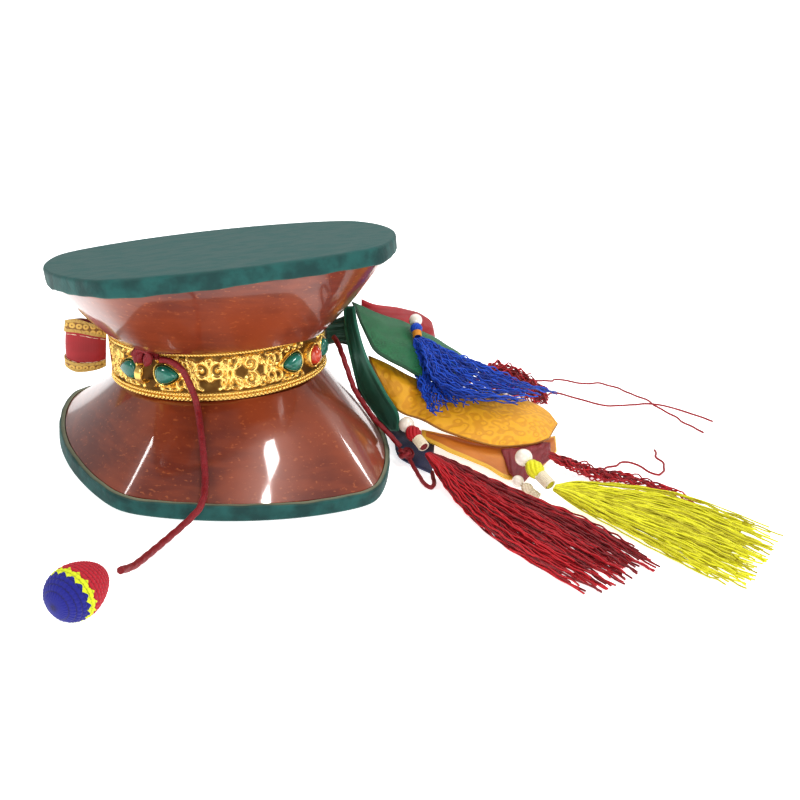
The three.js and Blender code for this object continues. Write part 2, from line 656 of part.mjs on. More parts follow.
function makeStriker() {
  const place = bandFrame(LUG_ANGLES.front, BAND_OUTER);
  const hang = ([along, down, out]) => place(along, BAND_HEIGHT / 2 - down, out);
  makeBead('striker_knot', hang(STRIKER_KNOT_PLACE), 2 * STRIKER_KNOT_RADIUS, 'crimson_cord');
  makeCord('striker_cord', [...STRIKER_START.map(hang), ...STRIKER_ROUTE], STRIKER_CORD_DIAMETER, 'crimson_cord');
  makeBead('striker_ball', STRIKER_BALL_CENTRE, STRIKER_BALL_DIAMETER, 'striker_crochet',
    STRIKER_BALL_LENGTH, STRIKER_BALL_AXIS, 16);
}

function makeStrap() {
  const place = bandFrame(STRAP_ANGLE, BAND_OUTER);
  const rows = STRAP_ROWS.map((pair) => pair.map((corner) => place(...corner)));
  addPiece('hand_strap', slabBody(rows, STRAP_THICKNESS, 6), 'strap_satin');
}

function makeNeck() {
  const place = bandFrame(NECK_ANGLE, BAND_OUTER + GAP);
  const section = (distance, grow) => Array.from({ length: 16 }, (_, index) => {
    const turn = angleAt(index, 16);
    return place(NECK_WIDTH / 2 * grow * Math.cos(turn), NECK_DEPTH / 2 * grow * Math.sin(turn), distance);
  });
  addPiece('tail_neck', loft([section(0.4, 0.85), section(NECK_LENGTH / 2, 0.8), section(NECK_LENGTH, 1)]), 'green_brocade');
}

const LAPPET_MATERIALS = {
  lappet_mottled_green: 'mottled_green',
  lappet_green_satin: 'green_satin',
  lappet_red: 'red_satin',
  lappet_yellow: 'yellow_brocade',
  lappet_orange: 'orange_satin',
  lappet_dark_red: 'dark_red_satin',
  lappet_navy: 'navy_satin',
};

const THREAD_MATERIALS = {
  blue_tassel: 'blue_thread',
  red_tassel: 'red_thread',
  yellow_tassel: 'lemon_thread',
  white_tassel: 'white_thread',
  blue_tassel_threads: 'blue_thread',
  red_tassel_threads: 'red_thread',
  yellow_tassel_threads: 'lemon_thread',
  far_red_tassel: 'red_thread',
  stray_thread_back: 'red_thread',
  stray_thread_front: 'red_thread',
  side_red_tassel: 'red_thread',
};

function makeTail() {
  makeNeck();
  for (const [name, rows] of Object.entries(LAPPETS)) {
    addPiece(name, slabBody(rows, LAPPET_THICKNESS, LENGTHWISE_STEPS), LAPPET_MATERIALS[name]);
  }
  for (const [name, tassel] of Object.entries(TASSEL_HEADS)) {
    const pearl = new THREE.Vector3(...tassel.pearl);
    const head = new THREE.Vector3(...tassel.head);
    const axis = new THREE.Vector3().subVectors(head, pearl).normalize();
    makeBead(`${name}_pearl`, pearl, tassel.pearlDiameter, 'pearl');
    makeBead(`${name}_head`, head, tassel.headDiameter, THREAD_MATERIALS[name], tassel.headLength, axis);
  }
  for (const [name, skirt] of Object.entries(SKIRTS)) {
    addPiece(name, slabBody(skirt.rows, skirt.thickness, LENGTHWISE_STEPS), THREAD_MATERIALS[name]);
  }
}

function makeTie() {
  makeCord('tie_cord', TIE_ROUTE, TIE_CORD_DIAMETER, 'crimson_cord');
  makeBead('tie_knot', TIE_KNOT_CENTRE, 2 * TIE_KNOT_RADIUS, 'crimson_cord');
}

makeDrum();
makeStriker();
makeStrap();
makeTail();
makeTie();

export default ROOT;
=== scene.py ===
"""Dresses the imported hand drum: lacquered bowls, dyed hide heads, a chased waist band set with
stones, a crocheted striker on its cord, a hand strap, and a tail of cloth lappets and tassels.

Sizes are in millimetres in the part's own frame and are turned to metres as a mesh is made.
"""

import logging
import math
from dataclasses import dataclass, field
from enum import Enum

import bpy
import numpy as np
from mathutils import Matrix, Vector

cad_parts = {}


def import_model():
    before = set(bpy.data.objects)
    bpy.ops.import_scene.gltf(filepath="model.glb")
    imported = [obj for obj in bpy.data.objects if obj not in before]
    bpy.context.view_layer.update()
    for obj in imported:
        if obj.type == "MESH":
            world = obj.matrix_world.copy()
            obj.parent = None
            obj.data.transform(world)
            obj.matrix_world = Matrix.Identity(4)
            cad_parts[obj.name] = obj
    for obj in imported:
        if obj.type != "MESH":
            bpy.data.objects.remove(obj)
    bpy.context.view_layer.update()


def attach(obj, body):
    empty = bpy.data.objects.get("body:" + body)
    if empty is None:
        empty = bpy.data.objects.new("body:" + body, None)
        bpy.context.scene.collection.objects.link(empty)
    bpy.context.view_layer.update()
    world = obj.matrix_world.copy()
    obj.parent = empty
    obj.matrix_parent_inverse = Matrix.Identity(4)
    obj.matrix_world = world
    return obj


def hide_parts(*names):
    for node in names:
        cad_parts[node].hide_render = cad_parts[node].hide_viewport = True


LOG = logging.getLogger("damaru")
MM = 0.001
TAU = 2 * math.pi
Points = np.ndarray
Colour = tuple[float, float, float]
Material = bpy.types.Material
Piece = bpy.types.Object
Node = bpy.types.Node
Socket = bpy.types.NodeSocket


# Curves and meshes

def unit(vectors: Points) -> Points:
    """Vectors scaled to length one."""
    return vectors / np.maximum(np.linalg.norm(vectors, axis=-1, keepdims=True), 1e-9)


def spline(points: Points, shares: Points) -> Points:
    """Smooth curve through points.

    Args:
        points: points that the curve passes through, (n, 3).
        shares: places along it, 0 at the first point and 1 at the last.

    Returns:
        One point for each share.
    """
    pts = np.asarray(points, float)
    where = np.clip(np.asarray(shares, float) * (len(pts) - 1), 0, len(pts) - 1 - 1e-9)
    low = where.astype(int)
    part = (where - low)[:, None]
    ext = np.vstack([2 * pts[0] - pts[1], pts, 2 * pts[-1] - pts[-2]])
    p0, p1, p2, p3 = ext[low], ext[low + 1], ext[low + 2], ext[low + 3]
    return 0.5 * (2 * p1 + (p2 - p0) * part + (2 * p0 - 5 * p1 + 4 * p2 - p3) * part ** 2
                  + (3 * p1 - p0 - 3 * p2 + p3) * part ** 3)


def even_path(points: Points, step: float) -> Points:
    """Smooth curve through points, cut into equal steps of about the given length."""
    fine = spline(points, np.linspace(0, 1, 40 * len(points)))
    run = np.r_[0, np.cumsum(np.linalg.norm(np.diff(fine, axis=0), axis=1))]
    at = np.linspace(0, run[-1], max(3, round(run[-1] / step) + 1))
    return np.column_stack([np.interp(at, run, fine[:, k]) for k in range(3)])


def path_length(path: Points) -> float:
    """Length of a chain of points."""
    return float(np.linalg.norm(np.diff(path, axis=0), axis=1).sum())


def carried_frames(path: Points) -> tuple[Points, Points]:
    """Two directions across a path that turn as little as they can along it."""
    tangents = unit(np.gradient(path, axis=0))
    start = np.array([0.0, 0.0, 1.0]) if abs(tangents[0][2]) < 0.9 else np.array([1.0, 0.0, 0.0])
    across = np.empty_like(path)
    across[0] = unit(np.cross(tangents[0], start))
    for i in range(1, len(path)):
        flat = across[i - 1] - tangents[i] * np.dot(across[i - 1], tangents[i])
        across[i] = unit(flat)
    return across, np.cross(tangents, across)


def full_turn(count: int) -> Points:
    """Evenly spaced angles round a circle."""
    return np.arange(count) / count * TAU


def side_axes(axis: Points) -> tuple[Points, Points]:
    """Two directions across an axis, the first of them level."""
    level = np.array([1.0, 0, 0]) if abs(axis[2]) > 0.9 else np.array([0, 0, 1.0])
    across = unit(np.cross(axis, level))
    return across, np.cross(axis, across)


def swing(across: Points, above: Points, radius: float | Points, angle: Points) -> Points:
    """Offsets at angles round a line, from two directions across it."""
    return across * (radius * np.cos(angle))[..., None] + above * (radius * np.sin(angle))[..., None]


def new_object(name: str, data: bpy.types.ID) -> Piece:
    """A new object in the scene."""
    made = bpy.data.objects.new(name, data)
    bpy.context.scene.collection.objects.link(made)
    return made


def grid_faces(rows: int, columns: int, loop_rows: bool = False, loop_columns: bool = True) -> Points:
    """Quads over a grid of points, numbered row by row."""
    r = np.arange(rows if loop_rows else rows - 1)
    c = np.arange(columns if loop_columns else columns - 1)
    rr, cc = np.meshgrid(r, c, indexing="ij")
    nr, nc = (rr + 1) % rows, (cc + 1) % columns
    corners = [rr * columns + cc, rr * columns + nc, nr * columns + nc, nr * columns + cc]
    return np.stack(corners, -1).reshape(-1, 4)


def outward(verts: Points, faces: list[list[int]]) -> list[list[int]]:
    """Faces of a closed body, turned over if its volume comes out negative."""
    fans = np.array([(face[0], face[i], face[i + 1]) for face in faces for i in range(1, len(face) - 1)])
    a, b, c = verts[fans[:, 0]], verts[fans[:, 1]], verts[fans[:, 2]]
    volume = float(np.einsum("ij,ij->", a, np.cross(b, c)))
    return [face[::-1] for face in faces] if volume < 0 else faces


@dataclass
class Shell:
    """Closed bodies gathered into one mesh, with values carried on their points."""

    verts: list[Points] = field(default_factory=list)
    faces: list[list[int]] = field(default_factory=list)
    values: dict[str, list[Points]] = field(default_factory=dict)
    maps: list[Points] = field(default_factory=list)
    count: int = 0

    def add(self, verts: Points, faces: list[list[int]], uv: Points | None = None,
            **values: Points) -> None:
        """Adds one closed body.

        Args:
            verts: its points, (n, 3).
            faces: lists of point numbers.
            uv: a flat place for each point, in millimetres.
            values: numbers for each point, by name.
        """
        turned = outward(verts, [list(map(int, face)) for face in faces])
        self.faces += [[i + self.count for i in face] for face in turned]
        self.verts.append(verts)
        for name, numbers in values.items():
            self.values.setdefault(name, []).append(np.broadcast_to(numbers, len(verts)))
        if uv is not None:
            self.maps.append(uv)
        self.count += len(verts)

    def loft(self, rings: Points, loop: bool = False, **values: Points) -> None:
        """Adds a body lofted through rings of points, closed by fans or by joining its ends.

        Args:
            rings: points, (rings, around, 3).
            loop: the last ring joins the first.
            values: numbers for each ring point, (rings, around), by name.
        """
        rows, columns = rings.shape[:2]
        faces = grid_faces(rows, columns, loop_rows=loop).tolist()
        verts = rings.reshape(-1, 3)
        flat = {name: np.broadcast_to(v, (rows, columns)).reshape(-1) for name, v in values.items()}
        if not loop:
            ends = np.vstack([rings[0].mean(0), rings[-1].mean(0)])
            last = (rows - 1) * columns
            for c in range(columns):
                n = (c + 1) % columns
                faces.append([n, c, rows * columns])
                faces.append([last + c, last + n, rows * columns + 1])
            verts = np.vstack([verts, ends])
            flat = {name: np.r_[v, v[0], v[last]] for name, v in flat.items()}
        self.add(verts, faces, **flat)

    def tube(self, path: Points, radius: float | Points, sides: int = 8, **values: float) -> None:
        """Adds a round body along a path, whose radius may vary along and around it."""
        across, above = carried_frames(path)
        turn = full_turn(sides)
        reach = np.broadcast_to(radius, (len(path), sides))
        rings = path[:, None] + swing(across[:, None], above[:, None], reach, turn)
        self.loft(rings, **{k: np.full((len(path), sides), v) for k, v in values.items()})

    def turned(self, centre: Points, axis: Points, profile: Points, sides: int = 32,
               **values: float) -> None:
        """Adds a body turned about an axis, from pairs of distance along it and radius."""
        axis = unit(np.asarray(axis, float))
        rings = (np.asarray(centre) + axis * profile[:, :1, None]
                 + swing(*side_axes(axis), profile[:, 1:], full_turn(sides)))
        self.loft(rings, **{k: np.full(rings.shape[:2], v) for k, v in values.items()})

    def sheet(self, mid: Points, lift: Points, place: Points, rim: Points) -> None:
        """Adds a closed sheet of cloth.

        Args:
            mid: grid of points on its middle surface, (rows, columns, 3).
            lift: step from the middle to its upper face, (rows, columns, 3).
            place: flat place of each point, in millimetres, (rows, columns, 2).
            rim: distance of each point to the nearest edge, (rows, columns).
        """
        rows, columns = mid.shape[:2]
        count = rows * columns
        faces = grid_faces(rows, columns, loop_columns=False)
        grid = np.arange(count).reshape(rows, columns)
        border = np.r_[grid[0, :-1], grid[:-1, -1], grid[-1, :0:-1], grid[:0:-1, 0]]
        following = np.roll(border, -1)
        wall = np.column_stack([following, border, border + count, following + count])
        self.add(np.vstack([(mid + lift).reshape(-1, 3), (mid - lift).reshape(-1, 3)]),
                 faces.tolist() + (faces[:, ::-1] + count).tolist() + wall.tolist(),
                 uv=np.vstack([place.reshape(-1, 2)] * 2), rim=np.r_[rim.ravel(), rim.ravel()])

    def piece(self, name: str, material: Material, crisp: float, slot: str, *nodes: str) -> Piece:
        """Makes the object.

        Args:
            name: the object's name.
            material: its finish.
            crisp: angle in degrees above which an edge is shaded sharp.
            slot: its material slot in the record; not used.
            nodes: nodes of the frame that it replaces.

        Returns:
            The new object, in the scene.
        """
        mesh = bpy.data.meshes.new(name)
        mesh.from_pydata((np.vstack(self.verts) * MM).tolist(), [], self.faces)
        for key, parts in self.values.items():
            layer = mesh.attributes.new(key, "FLOAT", "POINT")
            layer.data.foreach_set("value", np.concatenate(parts).astype(np.float32))
        if self.maps:
            index = np.empty(len(mesh.loops), np.int32)
            mesh.loops.foreach_get("vertex_index", index)
            layer = mesh.uv_layers.new(name="cut")
            layer.data.foreach_set("uv", np.vstack(self.maps)[index].astype(np.float32).ravel())
        mesh.shade_smooth()
        mesh.set_sharp_from_angle(angle=math.radians(crisp))
        mesh.materials.append(material)
        return settle(new_object(name, mesh), slot, *nodes)


# Finishes

class NodeTree:
    """A tree that nodes are added to."""

    tree: bpy.types.NodeTree

    def add(self, kind: str, inputs: dict | None = None, **settings: str | bool) -> Node:
        """Adds a node, with values or links for its inputs by name or number."""
        node = self.tree.nodes.new(kind)
        for key, value in settings.items():
            setattr(node, key, value)
        for key, value in (inputs or {}).items():
            if isinstance(value, Socket):
                self.tree.links.new(value, node.inputs[key])
            else:
                node.inputs[key].default_value = value
        return node


class Graph(NodeTree):
    """Builds the nodes of one material."""

    def __init__(self, name: str, **sockets: float | tuple) -> None:
        """Starts a material.

        Args:
            name: the material's name.
            sockets: plain values for the shader's sockets, with _ for a space.
        """
        self.material = bpy.data.materials.new(name)
        self.material.use_nodes = True
        self.tree = self.material.node_tree
        self.shader = self.tree.nodes["Principled BSDF"]
        for key, value in sockets.items():
            self.shader.inputs[key.replace("_", " ")].default_value = value

    def place(self, source: str = "Object") -> Socket:
        """The piece's own coordinates: Object, in metres, or UV, in millimetres."""
        return self.add("ShaderNodeTexCoord").outputs[source]

    def value(self, name: str) -> Socket:
        """A number carried on the piece's points."""
        return self.add("ShaderNodeAttribute", attribute_name=name).outputs["Fac"]

    def noise(self, where: Socket, scale: float, detail: float = 3, stretch: tuple = (1, 1, 1)) -> Socket:
        """Cloudy noise, drawn out along an axis by a stretch below one."""
        moved = self.add("ShaderNodeMapping", {"Vector": where, "Scale": stretch}).outputs[0]
        cloud = self.add("ShaderNodeTexNoise", {"Vector": moved, "Scale": scale, "Detail": detail})
        return cloud.outputs["Fac"]

    def math(self, operation: str, a: object, b: object = 0.5) -> Socket:
        """One arithmetic step on two numbers or sockets."""
        return self.add("ShaderNodeMath", {0: a, 1: b}, operation=operation).outputs[0]

    def ramp(self, factor: Socket, low: float, high: float) -> Socket:
        """Smooth step of a factor from 0 at low to 1 at high."""
        return self.add("ShaderNodeMapRange", {"Value": factor, "From Min": low, "From Max": high},
                        interpolation_type="SMOOTHSTEP").outputs[0]

    def mix(self, factor: Socket, a: object, b: object) -> Socket:
        """Blend of two colours by a factor."""
        colours = [(*c, 1.0) if isinstance(c, tuple) else c for c in (a, b)]
        blend = self.add("ShaderNodeMix", {0: factor, 6: colours[0], 7: colours[1]}, data_type="RGBA")
        return blend.outputs[2]

    def scaled(self, a: object, factor: object) -> Socket:
        """A number times a factor."""
        return self.math("MULTIPLY", a, factor)

    def paint(self, colour: Socket) -> None:
        """Links the base colour."""
        self.tree.links.new(colour, self.shader.inputs["Base Color"])

    def relief(self, height: Socket, depth: float, strength: float = 1.0) -> None:
        """Links a bump of the given depth in millimetres."""
        bump = self.add("ShaderNodeBump", {"Height": height, "Distance": depth * MM, "Strength": strength})
        self.tree.links.new(bump.outputs[0], self.shader.inputs["Normal"])

    def gloss(self, roughness: Socket) -> None:
        """Links the roughness."""
        self.tree.links.new(roughness, self.shader.inputs["Roughness"])


@dataclass(frozen=True)
class LacqueredWood:
    """Reddish-brown wood under a clear gloss, with fine orange specks along its grain."""

    dark: Colour = (0.120, 0.017, 0.006)
    light: Colour = (0.255, 0.050, 0.014)
    speck: Colour = (0.42, 0.12, 0.036)

    def make(self) -> Material:
        """The finished material."""
        g = Graph("lacquered_wood", Roughness=0.34, Coat_Weight=0.75, Coat_Roughness=0.06,
                  Specular_IOR_Level=0.5)
        where = g.place()
        cloud = g.ramp(g.noise(where, 26, 4), 0.34, 0.68)
        grain = g.ramp(g.noise(where, 420, 3, (0.16, 0.16, 1.0)), 0.42, 0.70)
        speck = g.ramp(g.noise(where, 1100, 2, (0.5, 0.5, 1.0)), 0.60, 0.74)
        base = g.mix(cloud, self.dark, self.light)
        base = g.mix(g.scaled(grain, 0.45), base, self.light)
        g.paint(g.mix(g.scaled(speck, 0.5), base, self.speck))
        g.relief(g.noise(where, 160, 3), 0.12, 0.35)
        return g.material


@dataclass(frozen=True)
class DyedHide:
    """Teal hide: fibrous on the playing face and painted lighter and greyer there, as painted light on the
    top; deeper on the skirt, pale at its cut edge.
    """

    deep: Colour = (0.003, 0.040, 0.038)
    light: Colour = (0.010, 0.085, 0.078)
    # painted light: lighter, greyer teal for the top face, where the light falls
    lit_face_grey: Colour = (0.038, 0.098, 0.090)
    edge: Colour = (0.24, 0.25, 0.17)

    def make(self) -> Material:
        """The finished material."""
        g = Graph("dyed_hide", Roughness=0.62, Specular_IOR_Level=0.35)
        where = g.place()
        mottle = g.ramp(g.noise(where, 130, 5), 0.36, 0.66)
        fibre = g.ramp(g.noise(where, 900, 3, (0.22, 1.0, 1.0)), 0.38, 0.66)
        skirt = g.mix(mottle, self.deep, self.light)
        # painted light: the playing face is mixed towards the lighter, greyer teal, unlike the skirt
        face = g.mix(g.scaled(fibre, 0.7), g.mix(mottle, self.lit_face_grey, self.light), self.lit_face_grey)
        body = g.mix(g.value("face"), skirt, face)
        g.paint(g.mix(g.value("edge"), body, self.edge))
        grain = g.noise(where, 700, 4, (0.4, 1.0, 1.0))
        g.relief(g.math("ADD", grain, g.scaled(mottle, 0.6)), 0.22, 0.6)
        return g.material


@dataclass(frozen=True)
class GiltBrass:
    """Chased sheet, bright on the ridges and dark in the recesses."""

    gold: Colour = (0.83, 0.56, 0.17)
    patina: Colour = (0.12, 0.058, 0.014)

    def make(self) -> Material:
        """The finished material."""
        g = Graph("gilt_brass", Metallic=0.92)
        where = g.place()
        wear = g.noise(where, 240, 4)
        bare = g.ramp(g.math("ADD", g.value("raised"), g.scaled(wear, 0.30)), 0.12, 0.60)
        g.paint(g.mix(bare, self.patina, self.gold))
        g.gloss(g.math("SUBTRACT", 0.52, g.scaled(bare, 0.26)))
        g.relief(g.noise(where, 900, 2), 0.05, 0.5)
        return g.material


@dataclass(frozen=True)
class Cabochon:
    """Polished stone or pearl with a faint cloud in it."""

    name: str
    body: Colour
    vein: Colour
    roughness: float = 0.16
    cloud: float = 260

    def make(self) -> Material:
        """The finished material."""
        g = Graph(self.name, Roughness=self.roughness, Coat_Weight=0.6, Coat_Roughness=0.04)
        where = g.place()
        g.paint(g.mix(g.ramp(g.noise(where, self.cloud, 4), 0.45, 0.72), self.body, self.vein))
        g.relief(g.noise(where, 400, 2), 0.03, 0.3)
        return g.material


@dataclass(frozen=True)
class Yarn:
    """Dyed thread or cord, with tone from strand to strand and fine fibre."""

    name: str
    dark: Colour
    light: Colour
    shine: float = 0.06
    roughness: float = 0.58

    def make(self) -> Material:
        """The finished material."""
        g = Graph(self.name, Roughness=self.roughness, Sheen_Weight=self.shine, Sheen_Roughness=0.4)
        where = g.place()
        fibre = g.noise(where, 2600, 2)
        tone = g.math("ADD", g.value("tone"), g.scaled(g.math("SUBTRACT", fibre, 0.5), 0.9))
        g.paint(g.mix(g.ramp(tone, 0.0, 1.0), self.dark, self.light))
        g.relief(fibre, 0.08, 0.6)
        return g.material


@dataclass(frozen=True)
class Crochet:
    """Crochet yarn in three dyes, picked by the zone carried on the ball, with painted shade between the
    stitches.
    """

    red: Colour = (0.40, 0.006, 0.022)
    lime: Colour = (0.58, 0.64, 0.01)
    blue: Colour = (0.006, 0.008, 0.20)

    def make(self) -> Material:
        """The finished material."""
        g = Graph("crochet_yarn", Roughness=0.78, Sheen_Weight=0.10, Sheen_Roughness=0.5)
        zone = g.value("zone")
        fibre = g.noise(g.place(), 2200, 3)
        dyed = g.mix(g.ramp(zone, 0.45, 0.55), self.red, self.lime)
        dyed = g.mix(g.ramp(zone, 1.45, 1.55), dyed, self.blue)
        # painted shade: the yarn darkens to near black where the stitches sink between their raised loops
        shade = g.ramp(g.math("ADD", g.value("raised"), g.scaled(fibre, 0.4)), 0.05, 0.75)
        g.paint(g.mix(shade, (0.01, 0.004, 0.01), dyed))
        g.relief(fibre, 0.12, 0.8)
        return g.material


class Weave(Enum):
    """Kinds of cloth in the tail and strap."""

    SATIN = "satin"
    FELTED = "felted"
    DAMASK = "damask"
    ROSETTE = "rosette"


@dataclass(frozen=True)
class Cloth:
    """Woven cloth laid out on the piece's cut, with a hem of its own colour; on the green satin the lighter
    hem is painted light on its folded rim.
    """

    name: str
    weave: Weave
    dark: Colour
    light: Colour
    hem: Colour
    hem_width: float = 1.2
    roughness: float = 0.48

    def make(self) -> Material:
        """The finished material."""
        g = Graph(self.name, Roughness=self.roughness, Sheen_Weight=0.08, Sheen_Roughness=0.4)
        where = g.place("UV")
        warp, weft = (g.add("ShaderNodeTexWave", {"Vector": where, "Scale": scale, "Distortion": bend},
                            wave_type="BANDS", bands_direction=way).outputs["Fac"]
                      for way, scale, bend in (("X", 0.85, 0.4), ("Y", 0.55, 0.5)))
        weave = g.scaled(g.math("ADD", warp, weft), 0.5)
        pattern, depth = self.pattern(g, where)
        tone = g.math("ADD", g.scaled(pattern, 0.8), g.scaled(weave, 0.2))
        colour = g.mix(tone, self.dark, self.light)
        edge = g.ramp(g.value("rim"), self.hem_width + 0.15, self.hem_width - 0.15)
        g.paint(g.mix(edge, colour, self.hem))
        g.relief(g.math("ADD", g.scaled(pattern, depth), g.scaled(weave, 0.25)), 0.22, 0.7)
        return g.material

    def pattern(self, g: Graph, where: Socket) -> tuple[Socket, float]:
        """The cloth's figure and how far it stands up, for its kind of weave."""
        if self.weave is Weave.FELTED:
            fine, cloud = g.noise(where, 1.5, 3), g.noise(where, 0.25, 2)
            return g.ramp(g.math("ADD", fine, g.scaled(cloud, 0.35)), 0.46, 0.84), 0.8
        if self.weave is Weave.DAMASK:
            cell = g.add("ShaderNodeTexVoronoi", {"Vector": where, "Scale": 0.24}, feature="SMOOTH_F1")
            leaf = g.math("PINGPONG", g.scaled(cell.outputs[0], 5.5), 1.0)
            return g.ramp(leaf, 0.25, 0.75), 0.7
        if self.weave is Weave.ROSETTE:
            cell = g.add("ShaderNodeTexVoronoi", {"Vector": where, "Scale": 0.42, "Randomness": 0.12})
            ring = g.math("PINGPONG", g.scaled(cell.outputs[0], 3.4), 1.0)
            return g.ramp(ring, 0.2, 0.7), 1.0
        return g.ramp(g.noise(where, 0.12, 3, (1.0, 0.4, 1.0)), 0.25, 0.80), 0.25


# Repeated shapes

class NodeRecipe(NodeTree):
    """A Geometry Nodes tree with named inputs, run once on an object and made plain."""

    def __init__(self, name: str, sockets: dict[str, str]) -> None:
        """Starts a tree with a geometry input and the named inputs.

        Args:
            name: the tree's name.
            sockets: kind of each input by name, such as Float.
        """
        self.tree = bpy.data.node_groups.new(name, "GeometryNodeTree")
        face = self.tree.interface
        face.new_socket("Geometry", in_out="INPUT", socket_type="NodeSocketGeometry")
        for key, kind in sockets.items():
            face.new_socket(key, in_out="INPUT", socket_type=f"NodeSocket{kind}")
        face.new_socket("Geometry", in_out="OUTPUT", socket_type="NodeSocketGeometry")
        self.source = self.tree.nodes.new("NodeGroupInput")
        self.sink = self.tree.nodes.new("NodeGroupOutput")

    def end(self, shape: Node, **stored: float) -> None:
        """Ends the tree with real, smooth geometry that carries the given numbers and finish."""
        shape = self.add("GeometryNodeRealizeInstances", {0: shape.outputs[0]})
        shape = self.add("GeometryNodeSetShadeSmooth", {0: shape.outputs[0]})
        for key, value in stored.items():
            carried = {0: shape.outputs[0], "Name": key, "Value": value}
            shape = self.add("GeometryNodeStoreNamedAttribute", carried, data_type="FLOAT", domain="POINT")
        finish = self.source.outputs["Finish"]
        done = self.add("GeometryNodeSetMaterial", {"Geometry": shape.outputs[0], "Material": finish})
        self.tree.links.new(done.outputs[0], self.sink.inputs[0])

    def run(self, name: str, verts: Points, edges: list[tuple[int, int]], vectors: dict[str, Points],
            values: dict[str, Points], inputs: dict[str, object]) -> Piece:
        """Runs the tree on points and edges.

        Args:
            name: the finished object's name.
            verts: points in millimetres.
            edges: pairs of point numbers.
            vectors: directions carried on the points.
            values: numbers carried on the points.
            inputs: the tree's inputs by name.

        Returns:
            A plain mesh object with no modifier.
        """
        mesh = bpy.data.meshes.new(name)
        mesh.from_pydata((verts * MM).tolist(), edges, [])
        for kind, member, carried in (("FLOAT", "value", values), ("FLOAT_VECTOR", "vector", vectors)):
            for key, numbers in carried.items():
                layer = mesh.attributes.new(key, kind, "POINT")
                layer.data.foreach_set(member, np.asarray(numbers, np.float32).ravel())
        made = new_object(name, mesh)
        modifier = made.modifiers.new("recipe", "NODES")
        modifier.node_group = self.tree
        known = {item.name: item.identifier for item in self.tree.interface.items_tree
                 if getattr(item, "in_out", "") == "INPUT"}
        for key, value in inputs.items():
            modifier[known[key]] = value
        evaluated = made.evaluated_get(bpy.context.evaluated_depsgraph_get())
        plain = bpy.data.meshes.new_from_object(evaluated)
        made.modifiers.clear()
        made.data = plain
        plain.name = name
        bpy.data.meshes.remove(mesh)
        return made


class BeadRow(NodeRecipe):
    """Small beads set on points, each drawn out along its own direction."""

    def __init__(self) -> None:
        """Builds the tree."""
        super().__init__("bead_row", {"Bead Radius": "Float", "Stretch": "Float", "Finish": "Material"})
        given = self.source.outputs
        round_bead = {"Segments": 8, "Rings": 6, "Radius": given["Bead Radius"]}
        bead = self.add("GeometryNodeMeshUVSphere", round_bead)
        drawn = self.add("ShaderNodeCombineXYZ", {0: given["Stretch"], 1: 1.0, 2: 1.0})
        shaped = self.add("GeometryNodeTransform", {"Geometry": bead.outputs[0], "Scale": drawn.outputs[0]})
        lay = self.add("GeometryNodeInputNamedAttribute", {"Name": "lay"}, data_type="FLOAT_VECTOR")
        turn = self.add("FunctionNodeAlignRotationToVector", {"Vector": lay.outputs[0]}, axis="X")
        dots = self.add("GeometryNodeMeshToPoints", {"Mesh": given["Geometry"]})
        set_out = self.add("GeometryNodeInstanceOnPoints", {
            "Points": dots.outputs[0], "Instance": shaped.outputs[0], "Rotation": turn.outputs[0]})
        self.end(set_out, raised=0.8)

    def lay_out(self, name: str, verts: Points, lay: Points, radius: float, stretch: float,
                finish: Material) -> Piece:
        """Beads on the given points.

        Args:
            name: the object's name.
            verts: one point for each bead.
            lay: the direction in which each is drawn out.
            radius: bead radius in millimetres.
            stretch: length of a bead over its width.
            finish: its material.

        Returns:
            The beads as one mesh.
        """
        return self.run(name, verts, [], {"lay": lay}, {},
                        {"Bead Radius": radius * MM, "Stretch": stretch, "Finish": finish})


class StrandBundle(NodeRecipe):
    """Strands of thread that follow given lines, each with its own tone."""

    def __init__(self) -> None:
        """Builds the tree."""
        super().__init__("strand_bundle", {"Thread Radius": "Float", "Sides": "Int", "Finish": "Material"})
        given = self.source.outputs
        lines = self.add("GeometryNodeMeshToCurve", {"Mesh": given["Geometry"]})
        ring = self.add("GeometryNodeCurvePrimitiveCircle", {
            "Resolution": given["Sides"], "Radius": given["Thread Radius"]})
        swept = self.add("GeometryNodeCurveToMesh", {
            "Curve": lines.outputs[0], "Profile Curve": ring.outputs[0], "Fill Caps": True})
        self.end(swept)

    def spin(self, name: str, lines: list[Points], girth: float, tones: list[float],
             finish: Material, sides: int = 5) -> Piece:
        """Strands along lines.

        Args:
            name: the object's name.
            lines: one chain of points in millimetres for each strand.
            girth: radius of a strand in millimetres.
            tones: place of each strand between its dark and its light dye.
            finish: its material.
            sides: sides of a strand.

        Returns:
            The strands as one mesh.
        """
        edges, start = [], 0
        for line in lines:
            edges += [(start + i, start + i + 1) for i in range(len(line) - 1)]
            start += len(line)
        tone = np.concatenate([np.full(len(line), t) for line, t in zip(lines, tones)])
        return self.run(name, np.vstack(lines), edges, {}, {"tone": tone},
                        {"Thread Radius": girth * MM, "Sides": sides, "Finish": finish})


def settle(piece: Piece, slot: str, *nodes: str) -> Piece:
    """Gives a piece its body, and the solids that it stands for.

    Args:
        piece: a finished piece.
        slot: its material slot in the record; not used.
        nodes: nodes of the frame that it replaces.

    Returns:
        The piece.
    """
    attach(piece, "root")
    if nodes:
        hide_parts(*nodes)
    stands_for = ", ".join(nodes) or "nothing"
    LOG.info("%s: %d faces, stands for %s", piece.name, len(piece.data.polygons), stands_for)
    return piece


# Camera and light

